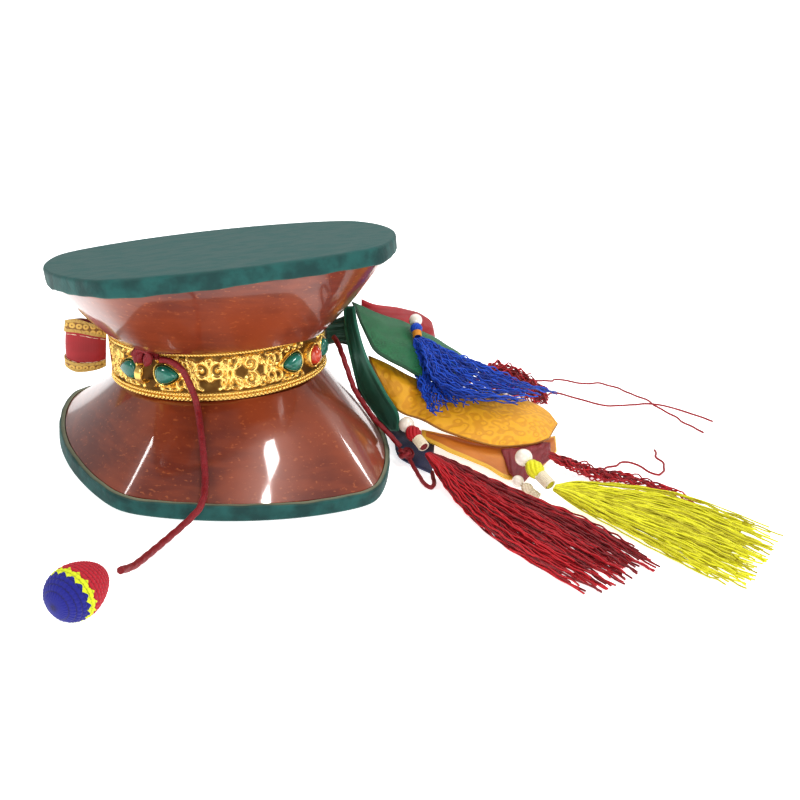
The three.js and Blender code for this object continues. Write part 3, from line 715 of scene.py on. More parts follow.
@dataclass
class Studio:
    """Camera at the photograph's angle, pale floor, soft light."""

    eye: tuple = (-28.846, -350.361, 144.352)
    right: tuple = (0.96515, -0.23397, 0.11723)
    up: tuple = (-0.03066, 0.34378, 0.93855)
    forward: tuple = (0.25989, 0.90944, -0.32462)
    lens: float = 40.5
    floor_size: float = 12.0
    floor_drop: float = 0.0002
    room_light: float = 0.46
    lamps: tuple = (
        ((0.10, 0.55, 1.20), (0.02, 0.0, 0.03), 1.0, 6.0),
        ((-1.10, -0.75, 0.80), (0.0, 0.0, 0.04), 0.30, 4.6),
        ((1.15, -0.80, 0.80), (0.06, 0.0, 0.03), 0.30, 5.2),
        ((0.286, -0.31, 1.06), (0.0, 0.0, 0.03), 0.08, 1.1),
        ((0.26, -0.39, 1.00), (0.0, 0.0, 0.03), 0.035, 0.7),
        ((-0.62, 0.18, 0.93), (0.0, 0.0, 0.03), 0.09, 0.6),
        ((0.91, 0.43, 0.51), (0.0, 0.0, 0.03), 0.12, 0.8),
        ((-0.05, -1.15, 0.34), (0.05, 0.0, 0.04), 0.60, 3.0),
    )

    def build(self) -> None:
        """Makes the camera, the lamps, the sky and the floor."""
        data = bpy.data.cameras.new("photo_camera")
        data.lens, data.sensor_width = self.lens, 36
        data.clip_start, data.clip_end = 0.01, 20
        camera = new_object("photo_camera", data)
        axes = Matrix((self.right, self.up, tuple(-v for v in self.forward))).transposed().to_4x4()
        camera.matrix_world = Matrix.Translation(Vector(self.eye) * MM) @ axes
        bpy.context.scene.camera = camera
        for number, (place, aim, size, power) in enumerate(self.lamps):
            lamp = bpy.data.lights.new(f"soft_light_{number}", "AREA")
            lamp.size, lamp.energy = size, power
            holder = new_object(lamp.name, lamp)
            holder.location = place
            holder.rotation_mode = "QUATERNION"
            holder.rotation_quaternion = (Vector(aim) - Vector(place)).to_track_quat("-Z", "Y")
        world = bpy.data.worlds.new("white_room")
        world.use_nodes = True
        sky = world.node_tree.nodes["Background"]
        sky.inputs[0].default_value = (1, 1, 1, 1)
        seen = world.node_tree.nodes.new("ShaderNodeLightPath")
        level = world.node_tree.nodes.new("ShaderNodeMapRange")
        level.inputs["To Min"].default_value = self.room_light
        world.node_tree.links.new(seen.outputs["Is Camera Ray"], level.inputs["Value"])
        world.node_tree.links.new(level.outputs[0], sky.inputs[1])
        bpy.context.scene.world = world
        bpy.context.scene.view_settings.view_transform = "Standard"
        bpy.context.scene.view_settings.look = "Medium High Contrast"
        half = self.floor_size / 2
        corners = [(-half, -half, 0), (half, -half, 0), (half, half, 0), (-half, half, 0)]
        mesh = bpy.data.meshes.new("pale_floor")
        mesh.from_pydata(corners, [], [(0, 1, 2, 3)])
        floor = new_object("pale_floor", mesh)
        floor.location.z = -self.floor_drop
        finish = Graph("pale_floor", Roughness=0.9, Base_Color=(0.93, 0.93, 0.93, 1),
                       Specular_IOR_Level=0.1, Emission_Color=(1, 1, 1, 1), Emission_Strength=0.56)
        mesh.materials.append(finish.material)
        LOG.info("camera, %d lamps and floor made", len(self.lamps))


# Drum

@dataclass(frozen=True)
class LeaningPlane:
    """A plane that leans: its point, its two level directions and its normal."""

    centre: tuple
    tilt_x: float = 0.0
    tilt_y: float = 0.0

    @property
    def axes(self) -> tuple[Points, Points, Points]:
        """Unit directions along X, along Y and out of the plane."""
        along_x = unit(np.array([1, 0, math.tan(self.tilt_x)]))
        normal = unit(np.array([-math.tan(self.tilt_x), -math.tan(self.tilt_y), 1]))
        return along_x, np.cross(normal, along_x), normal

    def at(self, x: Points, y: Points, height: float | Points = 0.0) -> Points:
        """Points of the plane, raised along its normal."""
        along_x, along_y, normal = self.axes
        x, y, height = np.broadcast_arrays(x, y, height)
        level = np.array(self.centre) + x[..., None] * along_x + y[..., None] * along_y
        return level + height[..., None] * normal

    def z_over(self, x: Points, y: Points, height: float = 0.0) -> Points:
        """Height of the plane, moved along its normal, over a point in plan."""
        _, _, normal = self.axes
        return (self.centre[2] + math.tan(self.tilt_x) * (x - self.centre[0])
                + math.tan(self.tilt_y) * (y - self.centre[1]) + height / normal[2])


LOWER_HEAD = LeaningPlane((0.0, 0.0, 0.0))
UPPER_HEAD = LeaningPlane((-6.6, 0.4, 80.2), 0.187, -0.091)
WAIST = LeaningPlane((-5.7, 0.4, 41.4), 0.125, -0.005)


@dataclass
class Drum:
    """Two bowls glued at the waist, each with a hide head."""

    sides: tuple = ((-90, 74.3, 109), (-5.6, 65.4, 135), (90, 70.4, 78.9), (185.6, 65.4, 135))
    turn: float = 4.2
    sharpness: float = 43.5
    steps: int = 256
    skirt_height: float = 5.8
    skirt_wall: float = 2.0
    rounding: float = 1.1
    bowl_wall: float = 6.5
    gap: float = 0.3
    cavity_depth: float = 0.86
    edge_height: float = 10.2
    core_radius: float = 38.1
    neck_radii: tuple = (29, 26)
    bulges: tuple = (1.0, 1.6)

    def outline(self, theta: Points) -> Points:
        """Distance from a head's centre to its outline in each direction."""
        total = np.zeros_like(theta)
        for direction, reach, arc in self.sides:
            bearing = theta - math.radians(self.turn + direction)
            offset = reach - arc
            along = offset * np.cos(bearing) + np.sqrt(arc ** 2 - (offset * np.sin(bearing)) ** 2)
            total += along ** -self.sharpness
        return total ** (-1 / self.sharpness)

    def head_ring(self, plane: LeaningPlane, inset: float | Points, height: float | Points) -> Points:
        """One ring of a head's outline, drawn in and raised."""
        theta = full_turn(self.steps)
        radius = self.outline(theta) - inset
        return plane.at(radius * np.cos(theta), radius * np.sin(theta), height)

    def skin(self, plane: LeaningPlane, inward: int, seed: float) -> Shell:
        """One hide head: flat face, rounded corner and a skirt cut a little unevenly."""
        theta = full_turn(self.steps)
        ragged = (0.22 * np.sin(7 * theta + seed) + 0.16 * np.sin(17 * theta + 2 * seed)
                  + 0.1 * np.sin(41 * theta))
        wave = 0.10 * np.sin(13 * theta + seed) + 0.07 * np.sin(31 * theta + 3 * seed)
        rings, face, edge = [], [], []

        def ring(inset: float | Points, height: float | Points, on_face: float,
                 on_edge: float = 0.0) -> None:
            """Adds one ring with its place on the face and on the cut edge."""
            rings.append(self.head_ring(plane, inset, inward * height))
            face.append(np.full(self.steps, on_face))
            edge.append(np.full(self.steps, on_edge))

        for inset in (55.0, 35.0, 15.0, 5.0, self.rounding):
            ring(inset, 0.0, 1.0)
        for k in range(1, 7):
            bend = k / 6 * math.pi / 2
            ring(self.rounding * (1 - math.sin(bend)), self.rounding * (1 - math.cos(bend)), 1 - k / 6)
        for k in range(1, 6):
            drop = self.rounding + (self.skirt_height - 0.5 - self.rounding) * k / 5
            ring(wave * k / 5 + 0.05 * k / 5, drop + ragged * k / 5, 0.0)
        ring(0.35, self.skirt_height + ragged, 0.0, 0.1)
        ring(0.9, self.skirt_height + ragged, 0.0, 0.7)
        ring(self.skirt_wall, self.skirt_height + 0.5 * ragged, 0.0, 1.0)
        ring(self.skirt_wall, 1.0, 0.0)
        shell = Shell()
        shell.loft(np.array(rings), face=np.array(face), edge=np.array(edge))
        return shell

    def bowl(self, head: LeaningPlane, inward: int, neck_radius: float, bulge: float) -> Shell:
        """One wooden bowl, hollow behind its head, down to the glued waist."""
        theta = full_turn(self.steps)
        rim_inset = self.skirt_wall + self.gap
        edge_height = -inward * self.edge_height
        centre = np.array(head.centre)
        rim_z = float(head.z_over(centre[0], centre[1], inward * self.skirt_height))
        edge_share = 1 - abs(edge_height) / abs(WAIST.centre[2] - rim_z)

        def ring(share: float, inset: float) -> Points:
            """Ring of the bowl's wall at a share of the way to the waist plane."""
            rim = self.head_ring(head, rim_inset + inset, inward * self.skirt_height)
            neck = WAIST.at((neck_radius - inset) * np.cos(theta), (neck_radius - inset) * np.sin(theta))
            flat = neck[:, :2] + (rim[:, :2] - neck[:, :2]) * (1 - share) ** (1 / bulge)
            target = WAIST.z_over(flat[:, 0], flat[:, 1], edge_height)
            return np.column_stack([flat, rim[:, 2] + (target - rim[:, 2]) * share / edge_share])

        def core(height: float) -> Points:
            """Ring of the round core under the band."""
            return WAIST.at(self.core_radius * np.cos(theta), self.core_radius * np.sin(theta), height)

        rim_height = inward * (1.0 + self.gap)
        outside = [self.head_ring(head, rim_inset, rim_height)]
        outside += [ring(edge_share * k / 24, 0.0) for k in range(25)]
        outside += [core(edge_height), core(-inward * self.gap / 2)]
        inside = [ring(self.cavity_depth * edge_share * k / 10, self.bowl_wall) for k in range(10, -1, -1)]
        inside.append(self.head_ring(head, rim_inset + self.bowl_wall, rim_height))
        shell = Shell()
        shell.loft(np.array([*outside[::-1], *inside[::-1]]))
        return shell

    def build(self, wood: Material, hide: Material) -> None:
        """Makes both bowls and both heads."""
        heads = (("lower", LOWER_HEAD, 1, 0.7), ("upper", UPPER_HEAD, -1, 2.1))
        for name, plane, inward, seed in heads:
            self.skin(plane, inward, seed).piece(f"{name}_head", hide, 50, "hide", f"{name}_skin")
        for (name, plane, inward, _), neck, bulge in zip(heads, self.neck_radii, self.bulges):
            bowl = self.bowl(plane, inward, neck, bulge)
            bowl.piece(f"turned_{name}_bowl", wood, 40, "lacquered_wood", f"{name}_bowl")


# Waist band

@dataclass(frozen=True)
class Stroke:
    """A chased line: points along and up the band, and its width."""

    line: Points
    width: float


@dataclass
class WaistBand:
    """Chased band with rope and bead borders, set with stones."""

    radius: float = 41.0
    wall: float = 2.6
    height: float = 19.4
    border: float = 2.8
    columns: int = 1120
    rows: int = 58
    rise: float = 1.0
    gap: float = 0.3
    bezel_wall: float = 0.7
    lug_angles: tuple = (-41, 139)
    coral_angles: tuple = (52, 232)
    lug_spacing: float = 12
    coral_spacing: float = 16
    turquoise: tuple = (8.9, 6.4, 3.0, 0.4)
    coral: tuple = (6.2, 7.4, 4.4, 0.0)
    lug_reach: float = 3.3
    lug_strap: tuple = (2.90, 0.84)
    lug_seat: float = 0.6
    ornament_reach: float = 26
    stone_foot: float = 0.4
    ring_points: int = 64
    borders: tuple = (
        ("rope_top_outer", 8.95, 0.58, 230, 1.55, 42), ("rope_top_inner", 7.55, 0.55, 230, 1.55, -42),
        ("rope_bottom_inner", -7.5, 0.52, 230, 1.55, 42), ("bead_row_bottom", -8.85, 0.78, 168, 1.0, 0))

    def point(self, degrees: Points, radius: Points, height: Points) -> Points:
        """Points on the band at angles from -Y towards +X."""
        turn = np.radians(np.asarray(degrees, float) - 90)
        return WAIST.at(radius * np.cos(turn), radius * np.sin(turn), height)

    def axes(self, degrees: float) -> tuple[Points, Points, Points]:
        """Directions along the band, up it and out of it."""
        out = unit(self.point(degrees, 1.0, 0.0) - np.array(WAIST.centre))
        normal = WAIST.axes[2]
        return np.cross(normal, out), normal, out

    def local(self, degrees: float, radius: float, x: Points, y: Points, z: Points) -> Points:
        """Points from their places along, up and out of the band."""
        along, up, out = self.axes(degrees)
        x, y, z = np.broadcast_arrays(x, y, z)
        level = self.point(degrees, radius, 0.0) + x[..., None] * along + y[..., None] * up
        return level + z[..., None] * out

    def spiral(self, x: float, y: float, radius: float, start: float, turns: float) -> Points:
        """A volute that winds in to its eye; a negative number of turns winds the other way."""
        t = np.linspace(0, 1, 60)
        angle = math.radians(start) + turns * TAU * t
        reach = radius * (1 - t) ** 0.8 + 0.35
        return np.column_stack([x + reach * np.cos(angle), y + reach * np.sin(angle)])

    def arc(self, x: float, y: float, radius: float, start: float, end: float,
            squash: float = 1.0) -> Points:
        """Part of an oval."""
        angle = np.radians(np.linspace(start, end, 50))
        return np.column_stack([x + radius * np.cos(angle), y + radius * squash * np.sin(angle)])

    def sector(self) -> list[Stroke]:
        """The ornament between two stone settings: two volutes, a round scroll and leaves."""
        volutes, arcs = [], []
        for side in (-1, 1):
            volutes += [(0.62, -8.4 + 3.0 * side, 1.0, 3.6, 90 - 80 * side, 1.35 * side),
                        (0.6, 6.0, 2.9 * side, 2.7, -90 * side, 1.3 * side)]
            arcs.append((0.5, -8.4 + 2.7 * side, -3.6, 2.7, 90 + 30 * side, 90 - 150 * side, 0.8))
            for lean in (-1, 1):
                turned = 90 * side + 200 * lean * side
                arcs += [(0.5, 6.0 + 5.0 * lean, 4.3 * side, 2.1, 90 * side, turned),
                         (0.45, -1.2 + 1.4 * lean, 3.7 * side, 1.9, 0, 300, 1.1)]
            for reach in (13.4, 16.2):
                arcs += [(0.5, reach, 3.4 * side, 2.3, 200, 470, 0.9),
                         (0.5, -reach - 2.0, 3.4 * side, 2.3, -20, 250, 0.9)]
        arcs += [(0.55, 6.0, 0.0, 6.0, 0, 360), (0.5, -8.4, -0.6, 6.2, -60, 240, 0.98),
                 (0.5, -8.4, 5.0, 1.1, 0, 360), (0.6, -8.4, -1.6, 0.9, 0, 360)]
        arcs += [(0.55, x, 0.0, 1.0, 0, 360, 1.5) for x in (-15.4, -1.3, 13.0)]
        return ([Stroke(self.spiral(*shape), width) for width, *shape in volutes]
                + [Stroke(self.arc(*shape), width) for width, *shape in arcs])

    def leaves(self, spacing: float) -> list[Stroke]:
        """Leaf strokes that frame the stones of one setting, in millimetres from its middle."""
        reach = math.radians(spacing) * self.radius
        arcs = []
        for side in (-1, 1):
            for up in (-1, 1):
                arcs.append((0.45, side * reach, up * 0.6, 6.3, 60 * up, 120 * up, 0.98))
                arcs += [(0.42, side * (reach - 4.5 + 3.4 * k), up * 6.2, 1.7, -80, 140, 0.9)
                         for k in range(4)]
                arcs.append((0.5, side * (reach + 8.0), up * 2.6, 2.2, 90 * up, 90 * up - 230 * side * up))
        return [Stroke(self.arc(*shape), width) for width, *shape in arcs]

    def relief(self, degrees: Points, up: Points) -> Points:
        """Height of the chasing over the ground, 0 to 1, for a grid of places."""
        along = np.radians(degrees) * self.radius
        around = TAU * self.radius
        raised = np.zeros(along.shape)
        placed: list[tuple[float, list[Stroke]]] = []
        clusters = sorted([(a, self.lug_spacing) for a in self.lug_angles]
                          + [(a, self.coral_spacing) for a in self.coral_angles])
        following = [angle for angle, _ in clusters[1:]] + [clusters[0][0] + 360]
        for (angle, spacing), after in zip(clusters, following):
            placed.append((angle, self.leaves(spacing)))
            placed.append(((angle + after) / 2 - 1.5, self.sector()))
        for angle, strokes in placed:
            gap = (along - math.radians(angle) * self.radius + around / 2) % around - around / 2
            near = np.abs(gap) < self.ornament_reach
            x, y = gap[near], up[near]
            best = raised[near]
            for stroke in strokes:
                low, high = stroke.line.min(0) - 1.5, stroke.line.max(0) + 1.5
                close = (x > low[0]) & (x < high[0]) & (y > low[1]) & (y < high[1])
                if not close.any():
                    continue
                aside, over = x[close, None] - stroke.line[:, 0], y[close, None] - stroke.line[:, 1]
                spread = aside ** 2 + over ** 2
                best[close] = np.maximum(best[close], np.exp(-spread.min(1) / stroke.width ** 2))
            raised[near] = best
        return raised

    def body(self) -> Shell:
        """The band itself, as a fine height field over its ground."""
        half, edge = self.height / 2, self.height / 2 - self.border
        degrees = np.arange(self.columns) / self.columns * 360
        heights = np.linspace(-half, half, self.rows)
        deg, up = np.meshgrid(degrees, heights)
        raised = self.relief(deg, up) * np.clip((edge - 0.15 - np.abs(up)) / 0.5, 0, 1)
        grain = 0.05 * np.sin(deg * 3.1 + up * 5) * np.sin(deg * 5.7 - up * 3)
        rim = np.clip((np.abs(up) - edge) / 0.35, 0, 1)
        rim = rim * (1 - 0.5 * np.exp(-((np.abs(up) - edge - 1.4) / 0.22) ** 2))
        radius = self.radius + self.rise * 0.95 * raised + grain * (1 - rim) + 0.45 * rim
        outer = self.point(deg, radius, up)
        inner = self.point(deg[:2], self.radius - self.wall, np.array([[half], [-half]]) + 0 * deg[:2])
        shade = np.clip(raised * 1.05 + 0.55 * rim, 0, 1)
        shell = Shell()
        shell.loft(np.concatenate([outer, inner]), loop=True, raised=np.concatenate([shade, 0 * deg[:2]]))
        return shell

    def rows_of_beads(self, row: BeadRow, brass: Material) -> None:
        """Makes rope rows along both edges, and a row of larger beads along the lower one."""
        for name, height, size, count, stretch, tilt in self.borders:
            degrees = np.arange(count) / count * 360
            verts = self.point(degrees, self.radius + 0.55, np.full(count, height))
            turn = np.radians(degrees - 90)
            along_x, along_y, normal = WAIST.axes
            tangent = -np.sin(turn)[:, None] * along_x + np.cos(turn)[:, None] * along_y
            lean = math.radians(tilt)
            lay = math.cos(lean) * tangent + math.sin(lean) * normal
            settle(row.lay_out(name, verts, lay, size, stretch, brass), "gilt_brass")

    def stone_ring(self, stone: tuple, degrees: float, tip: int, grow: float, height: float,
                   scale: float = 1.0) -> Points:
        """One level outline of a stone or its setting, tapered towards the tip's side."""
        turn = full_turn(self.ring_points)
        x = (stone[0] / 2 + grow) * np.cos(turn) * scale
        y = (stone[1] / 2 + grow) * np.sin(turn) * (1 - stone[3] * np.cos(turn)) * scale
        return self.local(degrees, self.radius, tip * x, y, height)

    def settings(self) -> list[tuple[tuple, float, int, float, str]]:
        """Every stone: its sizes, angle, tip side, setting height and node."""
        made, number = [], 0
        for angles, spacing in ((self.lug_angles, self.lug_spacing),
                                (self.coral_angles, self.coral_spacing)):
            for angle in angles:
                for side in (-1, 1):
                    number += 1
                    made.append((self.turquoise, angle + side * spacing, side, 1.5, f"turquoise_{number}"))
        for place, angle in zip(("front", "back"), self.coral_angles):
            made.append((self.coral, angle, 1, 2.8, f"coral_{place}"))
        return made

    def stones(self, green: Material, red: Material) -> Shell:
        """Makes the domed stones, and returns their rolled settings as one shell."""
        bezels = Shell()
        for stone, degrees, tip, height, node in self.settings():
            levels = [(0.0, 1.0), (0.35, 1.0)]
            for k in range(1, 12):
                bend = k / 12 * math.pi / 2
                levels.append((0.35 + 0.65 * math.sin(bend), math.cos(bend) ** 0.85))
            dome = Shell()
            dome.loft(np.array([
                self.stone_ring(stone, degrees, tip, 0, self.stone_foot + stone[2] * share, scale)
                for share, scale in levels]))
            finish, slot = (red, "coral") if node.startswith("coral") else (green, "turquoise")
            dome.piece(f"cabochon_{node}", finish, 60, slot, node)
            inner, outer = self.gap, self.gap + self.bezel_wall
            wall = [(inner, -1.0), (outer + 0.5, -1.0), (outer + 0.35, 0.5), (outer, height - 0.5),
                    (outer - 0.15, height - 0.1), (inner + 0.35, height), (inner + 0.1, height - 0.15),
                    (inner, height - 0.4)]
            rings = [self.stone_ring(stone, degrees, tip, grow, z) for grow, z in wall]
            bezels.loft(np.array(rings), loop=True, raised=0.9)
        return bezels

    def lug(self, degrees: float) -> Shell:
        """Polished strap bent into an upright loop, on a small foot."""
        turn = np.linspace(-0.5 * math.pi - 0.35, 0.5 * math.pi + 0.35, 30)
        up, out = self.lug_reach * np.sin(turn), 1.6 + self.lug_reach * np.cos(turn)
        roll = full_turn(16)
        wide = self.lug_strap[0] / 2 * np.sign(np.cos(roll)) * np.abs(np.cos(roll)) ** 0.5
        thick = self.lug_strap[1] / 2 * np.sign(np.sin(roll)) * np.abs(np.sin(roll)) ** 0.6
        rings = [self.local(degrees, self.radius + self.lug_seat, wide, u + thick * math.sin(t),
                            o + thick * math.cos(t)) for u, o, t in zip(up, out, turn)]
        shell = Shell()
        shell.loft(np.array(rings), raised=1.0)
        return shell

    def build(self, row: BeadRow, brass: Material, green: Material, red: Material) -> None:
        """Makes the band, its borders, stones and lugs."""
        self.body().piece("chased_band", brass, 60, "gilt_brass", "waist_band")
        self.rows_of_beads(row, brass)
        self.stones(green, red).piece("stone_settings", brass, 50, "gilt_brass")
        for place, angle in zip(("front", "back"), self.lug_angles):
            self.lug(angle).piece(f"strap_lug_{place}", brass, 50, "gilt_brass", f"cord_lug_{place}")


# Cords and striker

@dataclass
class BraidedCord:
    """A tight round braid."""

    diameter: float
    sides: int = 20
    step: float = 0.28
    pitch: float = 5.2

    def add_to(self, shell: Shell, points: Points, tone: float = 0.5) -> Points:
        """Adds the braid along a smooth route and returns its line."""
        path = even_path(points, self.step)
        run = np.arange(len(path))[:, None] * self.step
        turn = full_turn(self.sides)[None]
        one = np.sin(3 * turn + TAU * run / self.pitch)
        two = np.sin(3 * turn - TAU * run / self.pitch)
        radius = self.diameter / 2 * (0.90 + 0.10 * np.maximum(one, two))
        shell.tube(path, radius, self.sides, tone=tone)
        return path

    def piece(self, name: str, points: Points, finish: Material, *nodes: str) -> tuple[Piece, Points]:
        """One length of the braid as a piece of its own, and its line."""
        shell = Shell()
        path = self.add_to(shell, np.array(points))
        return shell.piece(name, finish, 70, "crimson_cord", *nodes), path


@dataclass
class Striker:
    """Crocheted ball on a cord that is knotted to the front lug."""

    diameter: float = 2.4
    knot: tuple = (-33.4, -36.2, 45.6)
    ball: tuple = (-47.7, -128.1, 8.3)
    axis: tuple = (0.62, 0.77, 0.12)
    ball_length: float = 18.5
    ball_diameter: float = 16.0
    stitch_rows: int = 15
    stitch_columns: int = 30
    teeth: int = 15
    coil_radius: float = 1.75
    ring_top: float = -0.20
    ring_foot: float = -0.42
    route: tuple = (
        (-28.5, -38.8, 45.3), (-25.4, -40.3, 45.5), (-20.9, -42.5, 43), (-17.2, -43.6, 36),
        (-15.3, -44.2, 30.5), (-14.2, -49.7, 25.5), (-13.2, -57.6, 19.4), (-12.5, -65, 13.4),
        (-12.7, -70.8, 10.4), (-13.2, -74.6, 9), (-14.8, -77.6, 6.4), (-18.6, -80.6, 3.4),
        (-24, -87.4, 1.6), (-29.7, -97.3, 1.5), (-34.1, -106.8, 2.8), (-37.6, -114.2, 5.6))

    def crocheted_ball(self) -> Shell:
        """Egg of stitches, narrowed to the cord, with a zigzag ring between its two dyes."""
        t = np.linspace(-0.998, 0.998, 150)[:, None]
        turn = full_turn(240)[None]
        row = (t + 1) / 2 * self.stitch_rows
        odd = np.floor(row) % 2
        column = turn / TAU * self.stitch_columns + 0.5 * odd
        loop = np.abs(np.sin(math.pi * row)) ** 0.6
        loop = loop * (0.45 + 0.55 * np.abs(np.cos(math.pi * column)) ** 0.8)
        fade = np.sqrt(np.clip(1 - t ** 2, 0, 1))
        egg = self.ball_diameter / 2 * fade * (1 - 0.20 * t - 0.05) * 0.97
        radius = egg + 0.5 * (loop - 0.5) * np.minimum(1, 3 * fade)
        zigzag = 0.10 * (2 * np.abs((turn / TAU * self.teeth) % 1 - 0.5) - 0.5)
        zone = np.where(t > self.ring_top + zigzag, 0.0, np.where(t > self.ring_foot + zigzag, 1.0, 2.0))
        axis = unit(np.array(self.axis))
        rings = (np.array(self.ball) + axis * (t * self.ball_length / 2)[..., None]
                 + swing(*side_axes(axis), radius, turn))
        shell = Shell()
        shell.loft(rings, zone=zone + 0 * turn, raised=loop)
        return shell

    def knot_coils(self, cord: BraidedCord) -> Shell:
        """Turns of the cord round the top of the lug, with one crossing turn."""
        centre = np.array(self.knot)
        out = unit(np.array([-0.62, -0.78, 0.0]))
        along = np.array([0.78, -0.62, 0.1])
        up = np.array([0.0, 0.0, 1.0])
        phase = np.linspace(0, 2.6 * TAU, 32)
        drift = np.linspace(-4.0, 3.6, 32)
        coil = centre + drift[:, None] * along + swing(out, up, self.coil_radius, phase)
        shell = Shell()
        cord.add_to(shell, coil)
        bend = np.linspace(-0.35 * math.pi, 1.25 * math.pi, 14)
        over = centre + swing(3.1 * along, 2.7 * up, 1.0, bend) + 1.6 * out
        cord.add_to(shell, over)
        return shell

    def build(self, cord_finish: Material, yarn: Material) -> None:
        cord = BraidedCord(self.diameter)
        line, path = cord.piece("striker_braid", self.route, cord_finish, "striker_cord")
        coils = self.knot_coils(cord)
        knot = coils.piece("striker_knot_coils", cord_finish, 70, "crimson_cord", "striker_knot")
        ball = self.crocheted_ball().piece("crochet_ball", yarn, 80, "striker_crochet", "striker_ball")


@dataclass
class TailTie:
    """Cord that gathers the tail and ends in a knot with a hairpin of cord below it."""

    diameter: float = 2.2
    tail_diameter: float = 1.8
    loop_radius: float = 1.9
    loop_swell: float = 0.8
    knot: tuple = (69.5, -24.5, 5.0)
    route: tuple = (
        (38.3, -8.6, 48.2), (39.3, -14.5, 46.8), (40.5, -20, 43.5), (43, -21.8, 37.5), (46, -21.8, 31),
        (51, -20, 24), (56.5, -17.5, 17), (62.5, -18, 11.5), (67.6, -22.4, 7))
    tail: tuple = (
        (70.5, -27.5, 3.6), (72.0, -37.5, 1.3), (72.4, -45.5, 1.2), (74.2, -48.6, 1.2), (76.4, -45.0, 1.2),
        (77.6, -39, 1.2), (78.5, -34.5, 1.2))

    def build(self, finish: Material) -> None:
        cord = BraidedCord(self.diameter)
        line, path = cord.piece("tie_braid", self.route, finish, "tie_cord")
        phase = np.linspace(0, TAU, 25)
        radius = self.loop_radius + self.loop_swell * np.cos(3 * phase)
        knot_line = np.array(self.knot) + np.column_stack([
            radius * np.cos(2 * phase), radius * np.sin(2 * phase), np.sin(3 * phase)])
        knot, _ = cord.piece("tie_knot_coils", knot_line, finish, "tie_knot")
        tail, _ = BraidedCord(self.tail_diameter).piece("tie_tail", self.tail, finish)


# Cloth

def upward_normals(grid: Points) -> Points:
    """Normals of a grid of points, turned to its upper side."""
    normal = unit(np.cross(np.gradient(grid, axis=1), np.gradient(grid, axis=0)))
    return -normal if normal[..., 2].mean() < 0 else normal


@dataclass
class Lappet:
    """One cloth tongue of the tail, from pairs of edge points, root to tip."""

    node: str
    rows: tuple
    crown: float = 1.5
    wrinkle: float = 0.5
    thickness: float = 1.2
    rests_on: tuple = ("waist_band",)
    across: int = 32
    along: int = 72

    def surface(self) -> tuple[Points, Points, Points, Points]:
        """Middle surface of the cloth, its normals, its flat places and distance to the nearest edge."""
        s = np.linspace(0, 1, self.along)
        u = np.linspace(0, 1, self.across)
        left = spline([pair[0] for pair in self.rows], s)
        right = spline([pair[1] for pair in self.rows], s)
        mid = left[:, None] * (1 - u)[None, :, None] + right[:, None] * u[None, :, None]
        normal = upward_normals(mid)
        width = np.linalg.norm(right - left, axis=1)[:, None]
        fade = np.minimum(1, np.minimum(s * 6, (1 - s) * 5))[:, None]
        swell = self.crown * np.sin(math.pi * u)[None] ** 0.8 * fade
        ripple = self.wrinkle * fade * (np.sin(5 * u * math.pi + 9 * s[:, None]) * 0.5
                                        + np.sin(11 * s[:, None] * math.pi + 4 * u) * 0.35
                                        + np.sin(23 * s[:, None] + 17 * u) * 0.25)
        mid = mid + normal * (swell + ripple)[..., None]
        normal = upward_normals(mid)
        steps = np.linalg.norm(np.diff(mid, axis=0), axis=2)
        run = np.concatenate([np.zeros((1, self.across)), np.cumsum(steps, axis=0)])
        flat = np.stack([(u[None] - 0.5) * width, run], -1)
        rim = np.minimum(np.minimum(u[None], 1 - u[None]) * width, np.minimum(run, run[-1:] - run))
        return mid, normal, flat, rim

    def build(self, finish: Material, slot: str) -> None:
        """Args:
            finish: its material.
            slot: its material slot in the record; not used.
        """
        mid, normal, flat, rim = self.surface()
        stitched = 0.10 * np.exp(-((rim - 2.4) / 0.35) ** 2)
        half = (self.thickness / 2 * (0.55 + 0.45 * np.clip(rim / 0.8, 0, 1)) - stitched)[..., None]
        shell = Shell()
        shell.sheet(mid, normal * half, flat, rim)
        piece = shell.piece(f"cloth_{self.node}", finish, 60, slot, self.node)


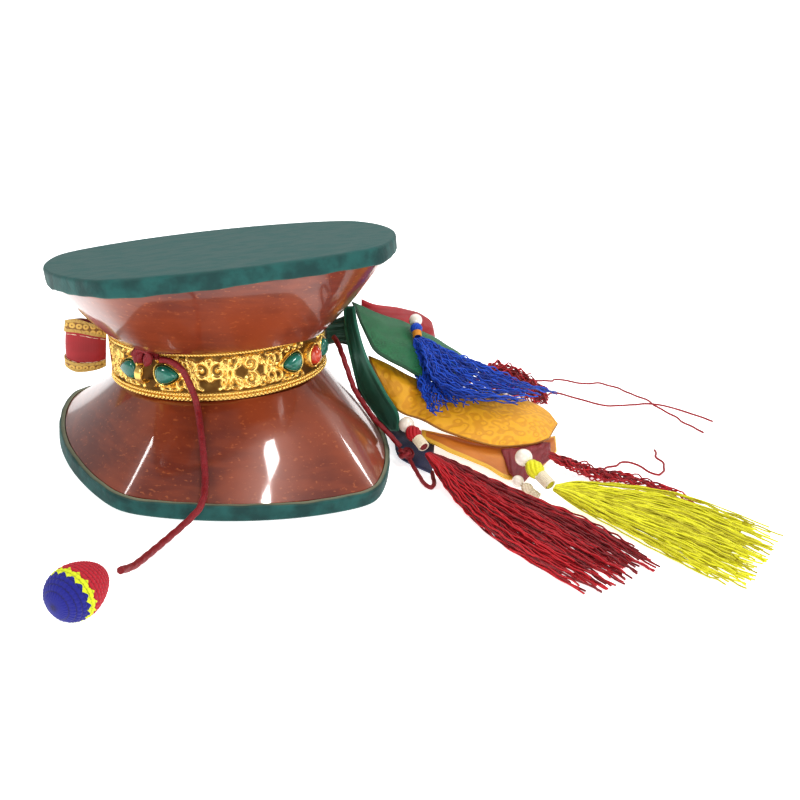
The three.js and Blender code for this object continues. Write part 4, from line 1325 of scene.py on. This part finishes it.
def lappets() -> dict[str, Lappet]:
    """The seven cloth tongues by material slot."""
    return {
        "mottled_green": Lappet("lappet_mottled_green", (
            ((49.5, 16, 57), (51, 3, 52)), ((63.5, 20, 51), (56, -5, 43)), ((77, 29.5, 46), (65, -6, 37.5)),
            ((95.5, 36.5, 37), (79, -2, 30.5)), ((109, 42, 29), (94, 7.5, 24.5)),
            ((120, 45, 22), (109, 17.5, 23.5))), crown=2.2, wrinkle=0.35),
        "green_satin": Lappet("lappet_green_satin", (
            ((43.5, 3, 58), (47.5, 0.5, 59)), ((43.5, -4.5, 50), (48.5, -7.5, 51)),
            ((44.5, -14.5, 42), (51, -16.5, 43)), ((50.5, -10.5, 27.5), (60, -14.5, 29)),
            ((59.5, -7, 15), (68.5, -9.5, 17)), ((67.5, -6, 7.5), (70, -8.5, 8.5))), crown=0.6,
            wrinkle=0.15),
        "red_satin": Lappet("lappet_red", (
            ((56, 27, 56), (57, 28, 46)), ((63, 30.5, 53), (65, 32, 43)),
            ((78, 45.5, 48.5), (79, 41.5, 39)), ((92, 60, 43), (90, 48.5, 34)),
            ((99.5, 63.5, 38), (96, 52, 31)), ((102.5, 61.5, 31), (100, 55, 28))), crown=2.0, wrinkle=0.3),
        "yellow_brocade": Lappet("lappet_yellow", (
            ((56, 2.5, 37.5), (56.5, 0, 35.5)), ((66, 5.5, 33), (62.5, -2, 25)),
            ((76, 4, 28.5), (69, -7.5, 17)), ((91.5, 8.5, 23.5), (78.5, -9.5, 14)),
            ((110.5, 13, 21), (88.5, -15, 11)), ((133, 16, 16), (106, -23.5, 8.6)),
            ((145, 13, 12), (123.5, -22.5, 9)), ((146, -1, 10.5), (135.5, -16.5, 9.4))), crown=3.0,
            wrinkle=0.3),
        # painted shade: yellow cloth lying under the yellow brocade, painted orange where it is in shade
        "orange_satin": Lappet("lappet_orange", (
            ((80, -8.5, 9), (79, -14, 7.5)), ((93, -10, 7), (88.5, -21.5, 5)),
            ((107, -16, 6), (100, -31, 3.2)), ((120, -18, 6), (109, -42, 1.8)),
            ((134.5, -9.5, 6), (123, -35, 2)), ((144, -4.5, 6), (140.5, -15.5, 3))), crown=1.0, wrinkle=0.3,
            rests_on=("lappet_yellow",)),
        "dark_red_satin": Lappet("lappet_dark_red", (
            ((111, -24, 7), (109, -40, 4.2)), ((118, -23, 7.5), (111, -49, 3.6)),
            ((129, -18, 7.8), (122.5, -37, 4.4)), ((137, -15, 7), (132, -28, 5))), crown=0.5, wrinkle=0.4,
            rests_on=("lappet_orange",)),
        "navy_satin": Lappet("lappet_navy", (
            ((54, 20, 26), (58, 22, 15)), ((63, 14, 13), (66, 14, 6)), ((72, 5.5, 6), (69, -6.5, 2.5)),
            ((80, 1.5, 4.5), (68.5, -20, 1.2)), ((87, -7, 3.4), (78, -36, 1.2))), crown=0.3, wrinkle=0.3),
    }


@dataclass
class TailNeck:
    """Short pleated neck where the tail is gathered against the band."""

    angle: float = 94
    length: float = 10
    width: float = 11
    depth: float = 12
    radius: float = 42.3
    start: float = 0.4
    pleats: int = 11
    around: int = 132

    def build(self, band: WaistBand, finish: Material) -> None:
        """Makes the neck."""
        turn = full_turn(self.around)
        rings = []
        for k in range(13):
            share = k / 12
            grow = 0.86 - 0.14 * math.sin(math.pi * share) + 0.12 * share
            pleat = 1 + 0.07 * np.cos(self.pleats * turn + 0.8 * share) + 0.02 * np.cos(29 * turn)
            along = self.width / 2 * grow * pleat * np.cos(turn)
            up = self.depth / 2 * grow * pleat * np.sin(turn)
            out = self.start + (self.length - self.start) * share
            rings.append(band.local(self.angle, self.radius, along, up, out))
        shell = Shell()
        shell.loft(np.array(rings), rim=9.0)
        shell.piece("pleated_neck", finish, 60, "green_brocade", "tail_neck")


@dataclass
class HandStrap:
    """Loop of satin ribbon with brocade trim, folded flat beside the band."""

    line: tuple = (
        (-48.9, 1.2), (-53, 0.4), (-59, 0.0), (-62.4, 1.2), (-63.1, 3.6), (-62.0, 6.0), (-58, 7.2),
        (-53, 6.8), (-49.4, 6.0))
    bottom: tuple = (29.5, 28.0, 27.2, 28.4, 29.4, 29.6, 29.0, 29.5, 30.0)
    top: tuple = (44.5, 46.0, 47.8, 47.0, 46.0, 45.6, 45.8, 45.0, 44.0)
    thickness: float = 1.0
    trim_lift: float = 0.90
    trim_thickness: float = 0.5
    edge_diameter: float = 1.1
    edge_shares: tuple = (0.73, 0.20)
    steps: int = 90
    columns: int = 18

    def band(self, low: float, high: float, lift: float, thickness: float) -> tuple[Shell, Points]:
        """A strip of the loop between two shares of its width, lifted off its face."""
        s = np.linspace(0, 1, self.steps)
        flat = spline([(x, y, 0) for x, y in self.line], s)
        base = spline([(b, 0, 0) for b in self.bottom], s)[:, 0]
        peak = spline([(t, 0, 0) for t in self.top], s)[:, 0]
        u = np.linspace(low, high, self.columns)
        mid = np.repeat(flat[:, None], self.columns, 1)
        mid[..., 2] = base[:, None] + (peak - base)[:, None] * u
        tangent = unit(np.gradient(flat, axis=0))
        out = np.cross([0, 0, 1.0], tangent)
        bow = 0.5 * np.sin(math.pi * u)[None] + 0.25 * np.sin(9 * s)[:, None]
        mid = mid + out[:, None] * (lift + bow)[..., None]
        run = np.r_[0, np.cumsum(np.linalg.norm(np.diff(flat, axis=0), axis=1))]
        place = np.stack([mid[..., 2], np.repeat(run[:, None], self.columns, 1)], -1)
        rim = np.minimum(u - low, high - u)[None] * (peak - base)[:, None]
        shell = Shell()
        shell.sheet(mid, thickness / 2 * out[:, None], place, rim)
        return shell, mid

    def build(self, satin: Material, brocade: Material, cord_finish: Material) -> None:
        shell, mid = self.band(0.0, 1.0, 0.0, self.thickness)
        ribbon = shell.piece("strap_ribbon", satin, 60, "strap_satin", "hand_strap")
        for name, low, high in (("strap_trim_top", 0.76, 1.01), ("strap_trim_bottom", -0.01, 0.17)):
            strip, _ = self.band(low, high, self.trim_lift, self.trim_thickness)
            strip.piece(name, brocade, 60, "strap_satin")
        edge = Shell()
        for share in self.edge_shares:
            line = mid[:, round(share * (self.columns - 1))]
            BraidedCord(self.edge_diameter, sides=10).add_to(edge, line[::6], 0.6)
        edge.piece("strap_edge_cords", cord_finish, 70, "strap_satin")


# Tassels

@dataclass
class Tassel:
    """Pearl, wound head and a fan of threads between two edge lines."""

    name: str
    rows: tuple
    count: int
    thread: float
    spread: float
    crinkle: float
    wave: float
    seed: int
    pearl: tuple | None = None
    pearl_diameter: float = 6.0
    head: tuple = (0, 0, 0)
    head_length: float = 10
    head_diameter: float = 6
    nodes: tuple = ()
    shortest: float = 0.72
    gathers: int = 9
    wrap_thread: float = 0.75

    def lines(self) -> tuple[list[Points], list[float]]:
        """Lines and tones of the threads."""
        rng = np.random.default_rng(self.seed)
        lines, tones = [], []
        left = np.array([pair[0] for pair in self.rows], float)
        right = np.array([pair[1] for pair in self.rows], float)
        length = path_length((left + right) / 2)
        steps = int(max(24, min(90, length / 1.5)))
        for _ in range(self.count):
            end = rng.uniform(self.shortest, 1.04)
            s = np.linspace(0, end, steps)
            capped = np.clip(s, 0, 1)
            a, b = spline(left, capped), spline(right, capped)
            over = (s - capped)[:, None]
            a = a + over * (left[-1] - left[-2]) * (len(left) - 1)
            b = b + over * (right[-1] - right[-2]) * (len(right) - 1)
            place = rng.beta(1.1, 1.1) + 0.10 * np.sin(rng.uniform(0, TAU) + s * rng.uniform(2, 7)) * s
            place = np.clip(place, 0.0, 1.0)
            line = a * (1 - place[:, None]) + b * place[:, None]
            lift = rng.uniform(-0.5, 0.5) * self.spread
            line[:, 2] += lift * np.minimum(1, 6 * s + 0.3)
            run = s * length
            phase = rng.uniform(0, TAU, 3)
            wobble = self.crinkle * np.minimum(1, 5 * s)
            pitch = self.wave * rng.uniform(0.75, 1.3)
            across = unit(b[-1] - a[-1])
            swirl = run / pitch
            line = line + across * (wobble * np.sin(swirl * TAU + phase[0]))[:, None]
            line[:, 2] += (0.6 * wobble * np.sin(swirl * TAU + phase[1])
                           + 0.5 * wobble * np.sin(swirl * 2.3 + phase[2]))
            line[:, 2] = np.maximum(line[:, 2], self.thread / 2)
            lines.append(line)
            tones.append(rng.uniform(0.1, 0.95))
        return lines, tones

    def fan(self, bundle: StrandBundle, finish: Material, slot: str) -> None:
        """Makes the threads as one piece."""
        lines, tones = self.lines()
        piece = bundle.spin(f"{self.name}_strands", lines, self.thread / 2, tones, finish)
        settle(piece, slot, *self.nodes)

    def wound(self, shell: Shell, start: Points, end: Points, radius: float, thread: float,
              tone: float) -> None:
        """Adds thread wound side by side round the line from start to end."""
        axis = unit(end - start)
        span = float(np.linalg.norm(end - start))
        turns = max(2, round(span / (thread * 0.95)))
        phase = np.linspace(0, turns * TAU, turns * 14)
        run = np.linspace(0, span, len(phase))
        line = start + run[:, None] * axis + swing(*side_axes(axis), radius, phase)
        shell.tube(line, thread / 2, 6, tone=tone)

    def crown(self, collar: Material, wrap: Material, pearl: Material, slot: str) -> None:
        """Makes the pearl, and the gathered collar and wound wrap between it and the threads."""
        top, middle = np.array(self.pearl, float), np.array(self.head, float)
        axis = unit(middle - top)
        turn = np.linspace(0.02, math.pi - 0.02, 24)
        bead = Shell()
        r = self.pearl_diameter / 2
        bead.turned(top, axis, np.column_stack([-r * np.cos(turn), r * np.sin(turn)]), 36)
        bead.piece(f"{self.name}_bead", pearl, 60, "pearl", f"{self.name}_pearl")
        body = Shell()
        start = middle - axis * self.head_length / 2
        split = middle + axis * self.head_length * 0.02
        end = middle + axis * self.head_length / 2
        share = np.linspace(0, 1, 16)
        bulge = self.head_diameter * (0.16 + 0.24 * np.sin(math.pi * share) ** 0.8)
        for k, angle in enumerate(full_turn(self.gathers)):
            bow = swing(*side_axes(axis), bulge, angle + 1.5 * share)
            line = start + (split - start) * share[:, None] + bow
            body.tube(line, self.head_diameter * 0.15, 7, tone=0.3 + 0.06 * k)
        core = np.array([start, middle, end])
        body.tube(even_path(core, 1.0), self.head_diameter * 0.26, 10, tone=0.2)
        body.piece(f"{self.name}_collar", collar, 60, slot, f"{self.name}_head")
        wraps = Shell()
        self.wound(wraps, split, end, self.head_diameter * 0.34, self.wrap_thread, 0.7)
        wraps.piece(f"{self.name}_wrap", wrap, 60, "white_thread")


def tassels() -> dict[str, Tassel]:
    """The tassels by colour of their threads."""
    return {
        "blue": Tassel("blue_tassel", (
            ((82, 14, 43.6), (77.5, 12, 43)), ((92, 13, 39), (80, 3, 38.6)),
            ((112, 17, 32), (82, -6, 31.6)), ((134, 22, 23), (96, -11, 26)),
            ((158, 30, 16.5), (122, -4, 21.5))),
            count=110, thread=0.62, spread=3.0, crinkle=0.70, wave=6.5, seed=11, pearl=(80, 21.5, 49.2),
            pearl_diameter=5.8, head=(79.7, 16.6, 45.6), head_length=6.2, head_diameter=5,
            nodes=("blue_tassel_threads",), shortest=0.55),
        "red": Tassel("red_tassel", (
            ((78, -31, 8), (75.4, -32.6, 8)), ((100, -55, 5.6), (80, -63, 3)),
            ((124, -80, 2.8), (88, -92, 1.8)), ((137, -108, 1.6), (104, -125, 1.6))),
            count=230, thread=0.72, spread=3.6, crinkle=0.30, wave=9.0, seed=23, pearl=(71, -15.5, 14),
            pearl_diameter=6.6, head=(73.6, -24, 11.6), head_length=12, head_diameter=6,
            nodes=("red_tassel_threads",), shortest=0.74),
        "yellow": Tassel("yellow_tassel", (
            ((120.4, -60, 7.6), (118, -63, 7.6)), ((140, -56, 6.4), (133, -80, 3.4)),
            ((172, -62, 4.5), (147, -104, 2.2)), ((199, -88, 2.2), (160, -126, 2))),
            count=250, thread=0.62, spread=3.2, crinkle=0.24, wave=8.0, seed=37, pearl=(111.5, -46, 13.2),
            pearl_diameter=7, head=(115.2, -55.4, 10.2), head_length=13, head_diameter=6.4,
            nodes=("yellow_tassel_threads",), shortest=0.80),
        "lower_blue": Tassel("lower_blue_tassel", (
            ((82, 14, 43.4), (77.5, 12, 42.8)), ((87, 7, 36), (77, 4, 35)), ((93, -2, 28.5), (78, -7, 27)),
            ((103, -9, 23), (81, -15, 20))),
            count=90, thread=0.62, spread=2.6, crinkle=0.9, wave=4.2, seed=17, shortest=0.62),
        "far_red": Tassel("far_red_tassel", (
            ((128.5, 60, 12), (128, 57, 12)), ((145, 80, 11.5), (136, 47, 9.5)),
            ((158, 72, 9), (150, 42, 7.5)), ((165, 56, 5), (160, 44, 4.6))),
            count=120, thread=0.7, spread=6.5, crinkle=1.5, wave=5.6, seed=41, nodes=("far_red_tassel",),
            shortest=0.6),
        "side_red": Tassel("side_red_tassel", (
            ((133, -22.5, 6.2), (131, -27.5, 5.4)), ((150, -33, 3.6), (144, -40, 3)),
            ((170, -42, 2.2), (163, -49, 2.2)), ((188, -62, 1.3), (184, -66, 1.3))),
            count=24, thread=0.7, spread=1.6, crinkle=1.1, wave=7.0, seed=53, nodes=("side_red_tassel",),
            shortest=0.5),
        "white": Tassel("white_tassel", (),
            count=0, thread=0.6, spread=0, crinkle=0, wave=1, seed=3, pearl=(108.5, -51, 5.2),
            pearl_diameter=4.8, head=(112.5, -56, 3.2), head_length=7.4, head_diameter=4.2),
    }


@dataclass
class StrayThreads:
    """Single threads of the far tassel that lie out on the table, and the cord that holds it."""

    step: float = 1.4
    girth: float = 0.5
    hanger_girth: float = 1.0
    back: tuple = (
        (156, 68, 7.5), (163, 73, 6.5), (172, 75, 6), (186, 85.5, 3.6), (201, 83.5, 2.4), (212, 85.4, 2.4),
        (223, 59.7, 3.2), (230, 41, 1.2), (234.6, 18, 0.7))
    front: tuple = (
        (160, 50, 6), (167, 55, 6), (176, 61.5, 3.6), (187, 59, 1.6), (200, 52, 1.2), (230, 58, 0.8),
        (245.5, 43, 0.8), (250.4, 34, 0.8))
    hanger: tuple = (
        (100.5, 57, 29), (104, 57.5, 21), (110, 58, 11), (119, 58.3, 8.5), (128.5, 58.5, 11.5))
    fine: tuple = (
        (150, -44, 2.0), (158, -30, 1.6), (173, -22, 1.2), (181, -34, 0.8), (188, -26, 0.8), (194, -6, 0.8))

    def build(self, bundle: StrandBundle, finish: Material) -> None:
        """Makes the threads, crinkled along their length."""
        for name, points, nodes in (("long_thread_back", self.back, ("stray_thread_back",)),
                                    ("long_thread_front", self.front, ("stray_thread_front",)),
                                    ("fine_thread", self.fine, ()), ("far_tassel_hanger", self.hanger, ())):
            path = even_path(np.array(points, float), self.step)
            across, _ = carried_frames(path)
            run = np.arange(len(path)) * self.step
            path = path + across * (0.7 * np.sin(run / 3.1) + 0.4 * np.sin(run / 1.7))[:, None]
            girth = self.hanger_girth if points is self.hanger else self.girth
            path[:, 2] = np.maximum(path[:, 2], girth)
            settle(bundle.spin(name, [path], girth, [0.4], finish, 7), "red_thread", *nodes)


def main() -> None:
    """Builds every piece in order."""
    logging.basicConfig(level=logging.INFO, format="%(name)s %(message)s")
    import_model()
    Studio().build()
    crimson = Yarn("crimson_braid", (0.08, 0.002, 0.004), (0.30, 0.006, 0.014)).make()
    Striker().build(crimson, Crochet().make())
    TailTie().build(crimson)
    Drum().build(LacqueredWood().make(), DyedHide().make())
    band = WaistBand()
    turquoise = Cabochon("turquoise_stone", (0.006, 0.125, 0.088), (0.02, 0.22, 0.16)).make()
    coral = Cabochon("coral_stone", (0.50, 0.035, 0.015), (0.62, 0.10, 0.04)).make()
    band.build(BeadRow(), GiltBrass().make(), turquoise, coral)
    cloths = {
        "mottled_green": (Weave.FELTED, (0.002, 0.055, 0.018), (0.010, 0.17, 0.055), (0.003, 0.06, 0.02)),
        # painted light: the green satin's hem is the same green painted lighter, where its folded rim
        # catches the light
        "green_satin": (Weave.SATIN, (0.003, 0.040, 0.024), (0.008, 0.085, 0.050), (0.02, 0.14, 0.09)),
        "red_satin": (Weave.SATIN, (0.22, 0.003, 0.006), (0.42, 0.008, 0.014), (0.36, 0.006, 0.012)),
        "yellow_brocade": (Weave.DAMASK, (0.64, 0.28, 0.004), (0.80, 0.40, 0.010), (0.30, 0.12, 0.006),
                           0.6),
        # painted shade: this tongue is yellow cloth; its orange body is painted shade and its yellow hem is
        # the lit rim
        "orange_satin": (Weave.SATIN, (0.42, 0.12, 0.012), (0.66, 0.24, 0.03), (0.72, 0.42, 0.04), 1.6),
        "dark_red_satin": (Weave.SATIN, (0.14, 0.006, 0.010), (0.26, 0.012, 0.02), (0.20, 0.01, 0.016)),
        "navy_satin": (Weave.SATIN, (0.006, 0.010, 0.040), (0.025, 0.035, 0.10), (0.03, 0.04, 0.10)),
        "dark_green_neck": (Weave.ROSETTE, (0.004, 0.030, 0.018), (0.012, 0.085, 0.045),
                            (0.01, 0.05, 0.03)),
        "strap_satin": (Weave.SATIN, (0.22, 0.006, 0.010), (0.42, 0.014, 0.022), (0.30, 0.01, 0.02)),
        "gold_trim": (Weave.ROSETTE, (0.16, 0.05, 0.008), (0.72, 0.46, 0.10), (0.50, 0.32, 0.08)),
    }
    cloth = {name: Cloth(f"{name}_cloth", *looks).make() for name, looks in cloths.items()}
    for slot, lappet in lappets().items():
        lappet.build(cloth[slot], slot)
    TailNeck().build(band, cloth["dark_green_neck"])
    cream = Yarn("cream_thread", (0.45, 0.36, 0.22), (0.80, 0.72, 0.55)).make()
    HandStrap().build(cloth["strap_satin"], cloth["gold_trim"], cream)
    pearl = Cabochon("pearl_bead", (0.80, 0.74, 0.64), (0.88, 0.84, 0.76), 0.22, 120).make()
    red = Yarn("red_strand", (0.12, 0.001, 0.004), (0.50, 0.006, 0.016)).make()
    blue = Yarn("blue_strand", (0.001, 0.016, 0.18), (0.006, 0.090, 0.60)).make()
    lemon = Yarn("lemon_strand", (0.40, 0.35, 0.005), (0.80, 0.78, 0.02)).make()
    orange = Yarn("orange_wrap", (0.45, 0.14, 0.01), (0.75, 0.32, 0.03)).make()
    bundle = StrandBundle()
    made = tassels()
    for name, yarn, slot, wrap in (
            ("blue", blue, "blue_thread", orange), ("red", red, "red_thread", cream),
            ("yellow", lemon, "lemon_thread", cream), ("lower_blue", blue, "blue_thread", None),
            ("far_red", red, "red_thread", None), ("side_red", red, "red_thread", None)):
        made[name].fan(bundle, yarn, slot)
        if wrap:
            made[name].crown(yarn, wrap, pearl, slot)
    made["white"].crown(cream, cream, pearl, "white_thread")
    StrayThreads().build(bundle, red)
    LOG.info("boxes written")


if __name__ == "__main__":
    main()
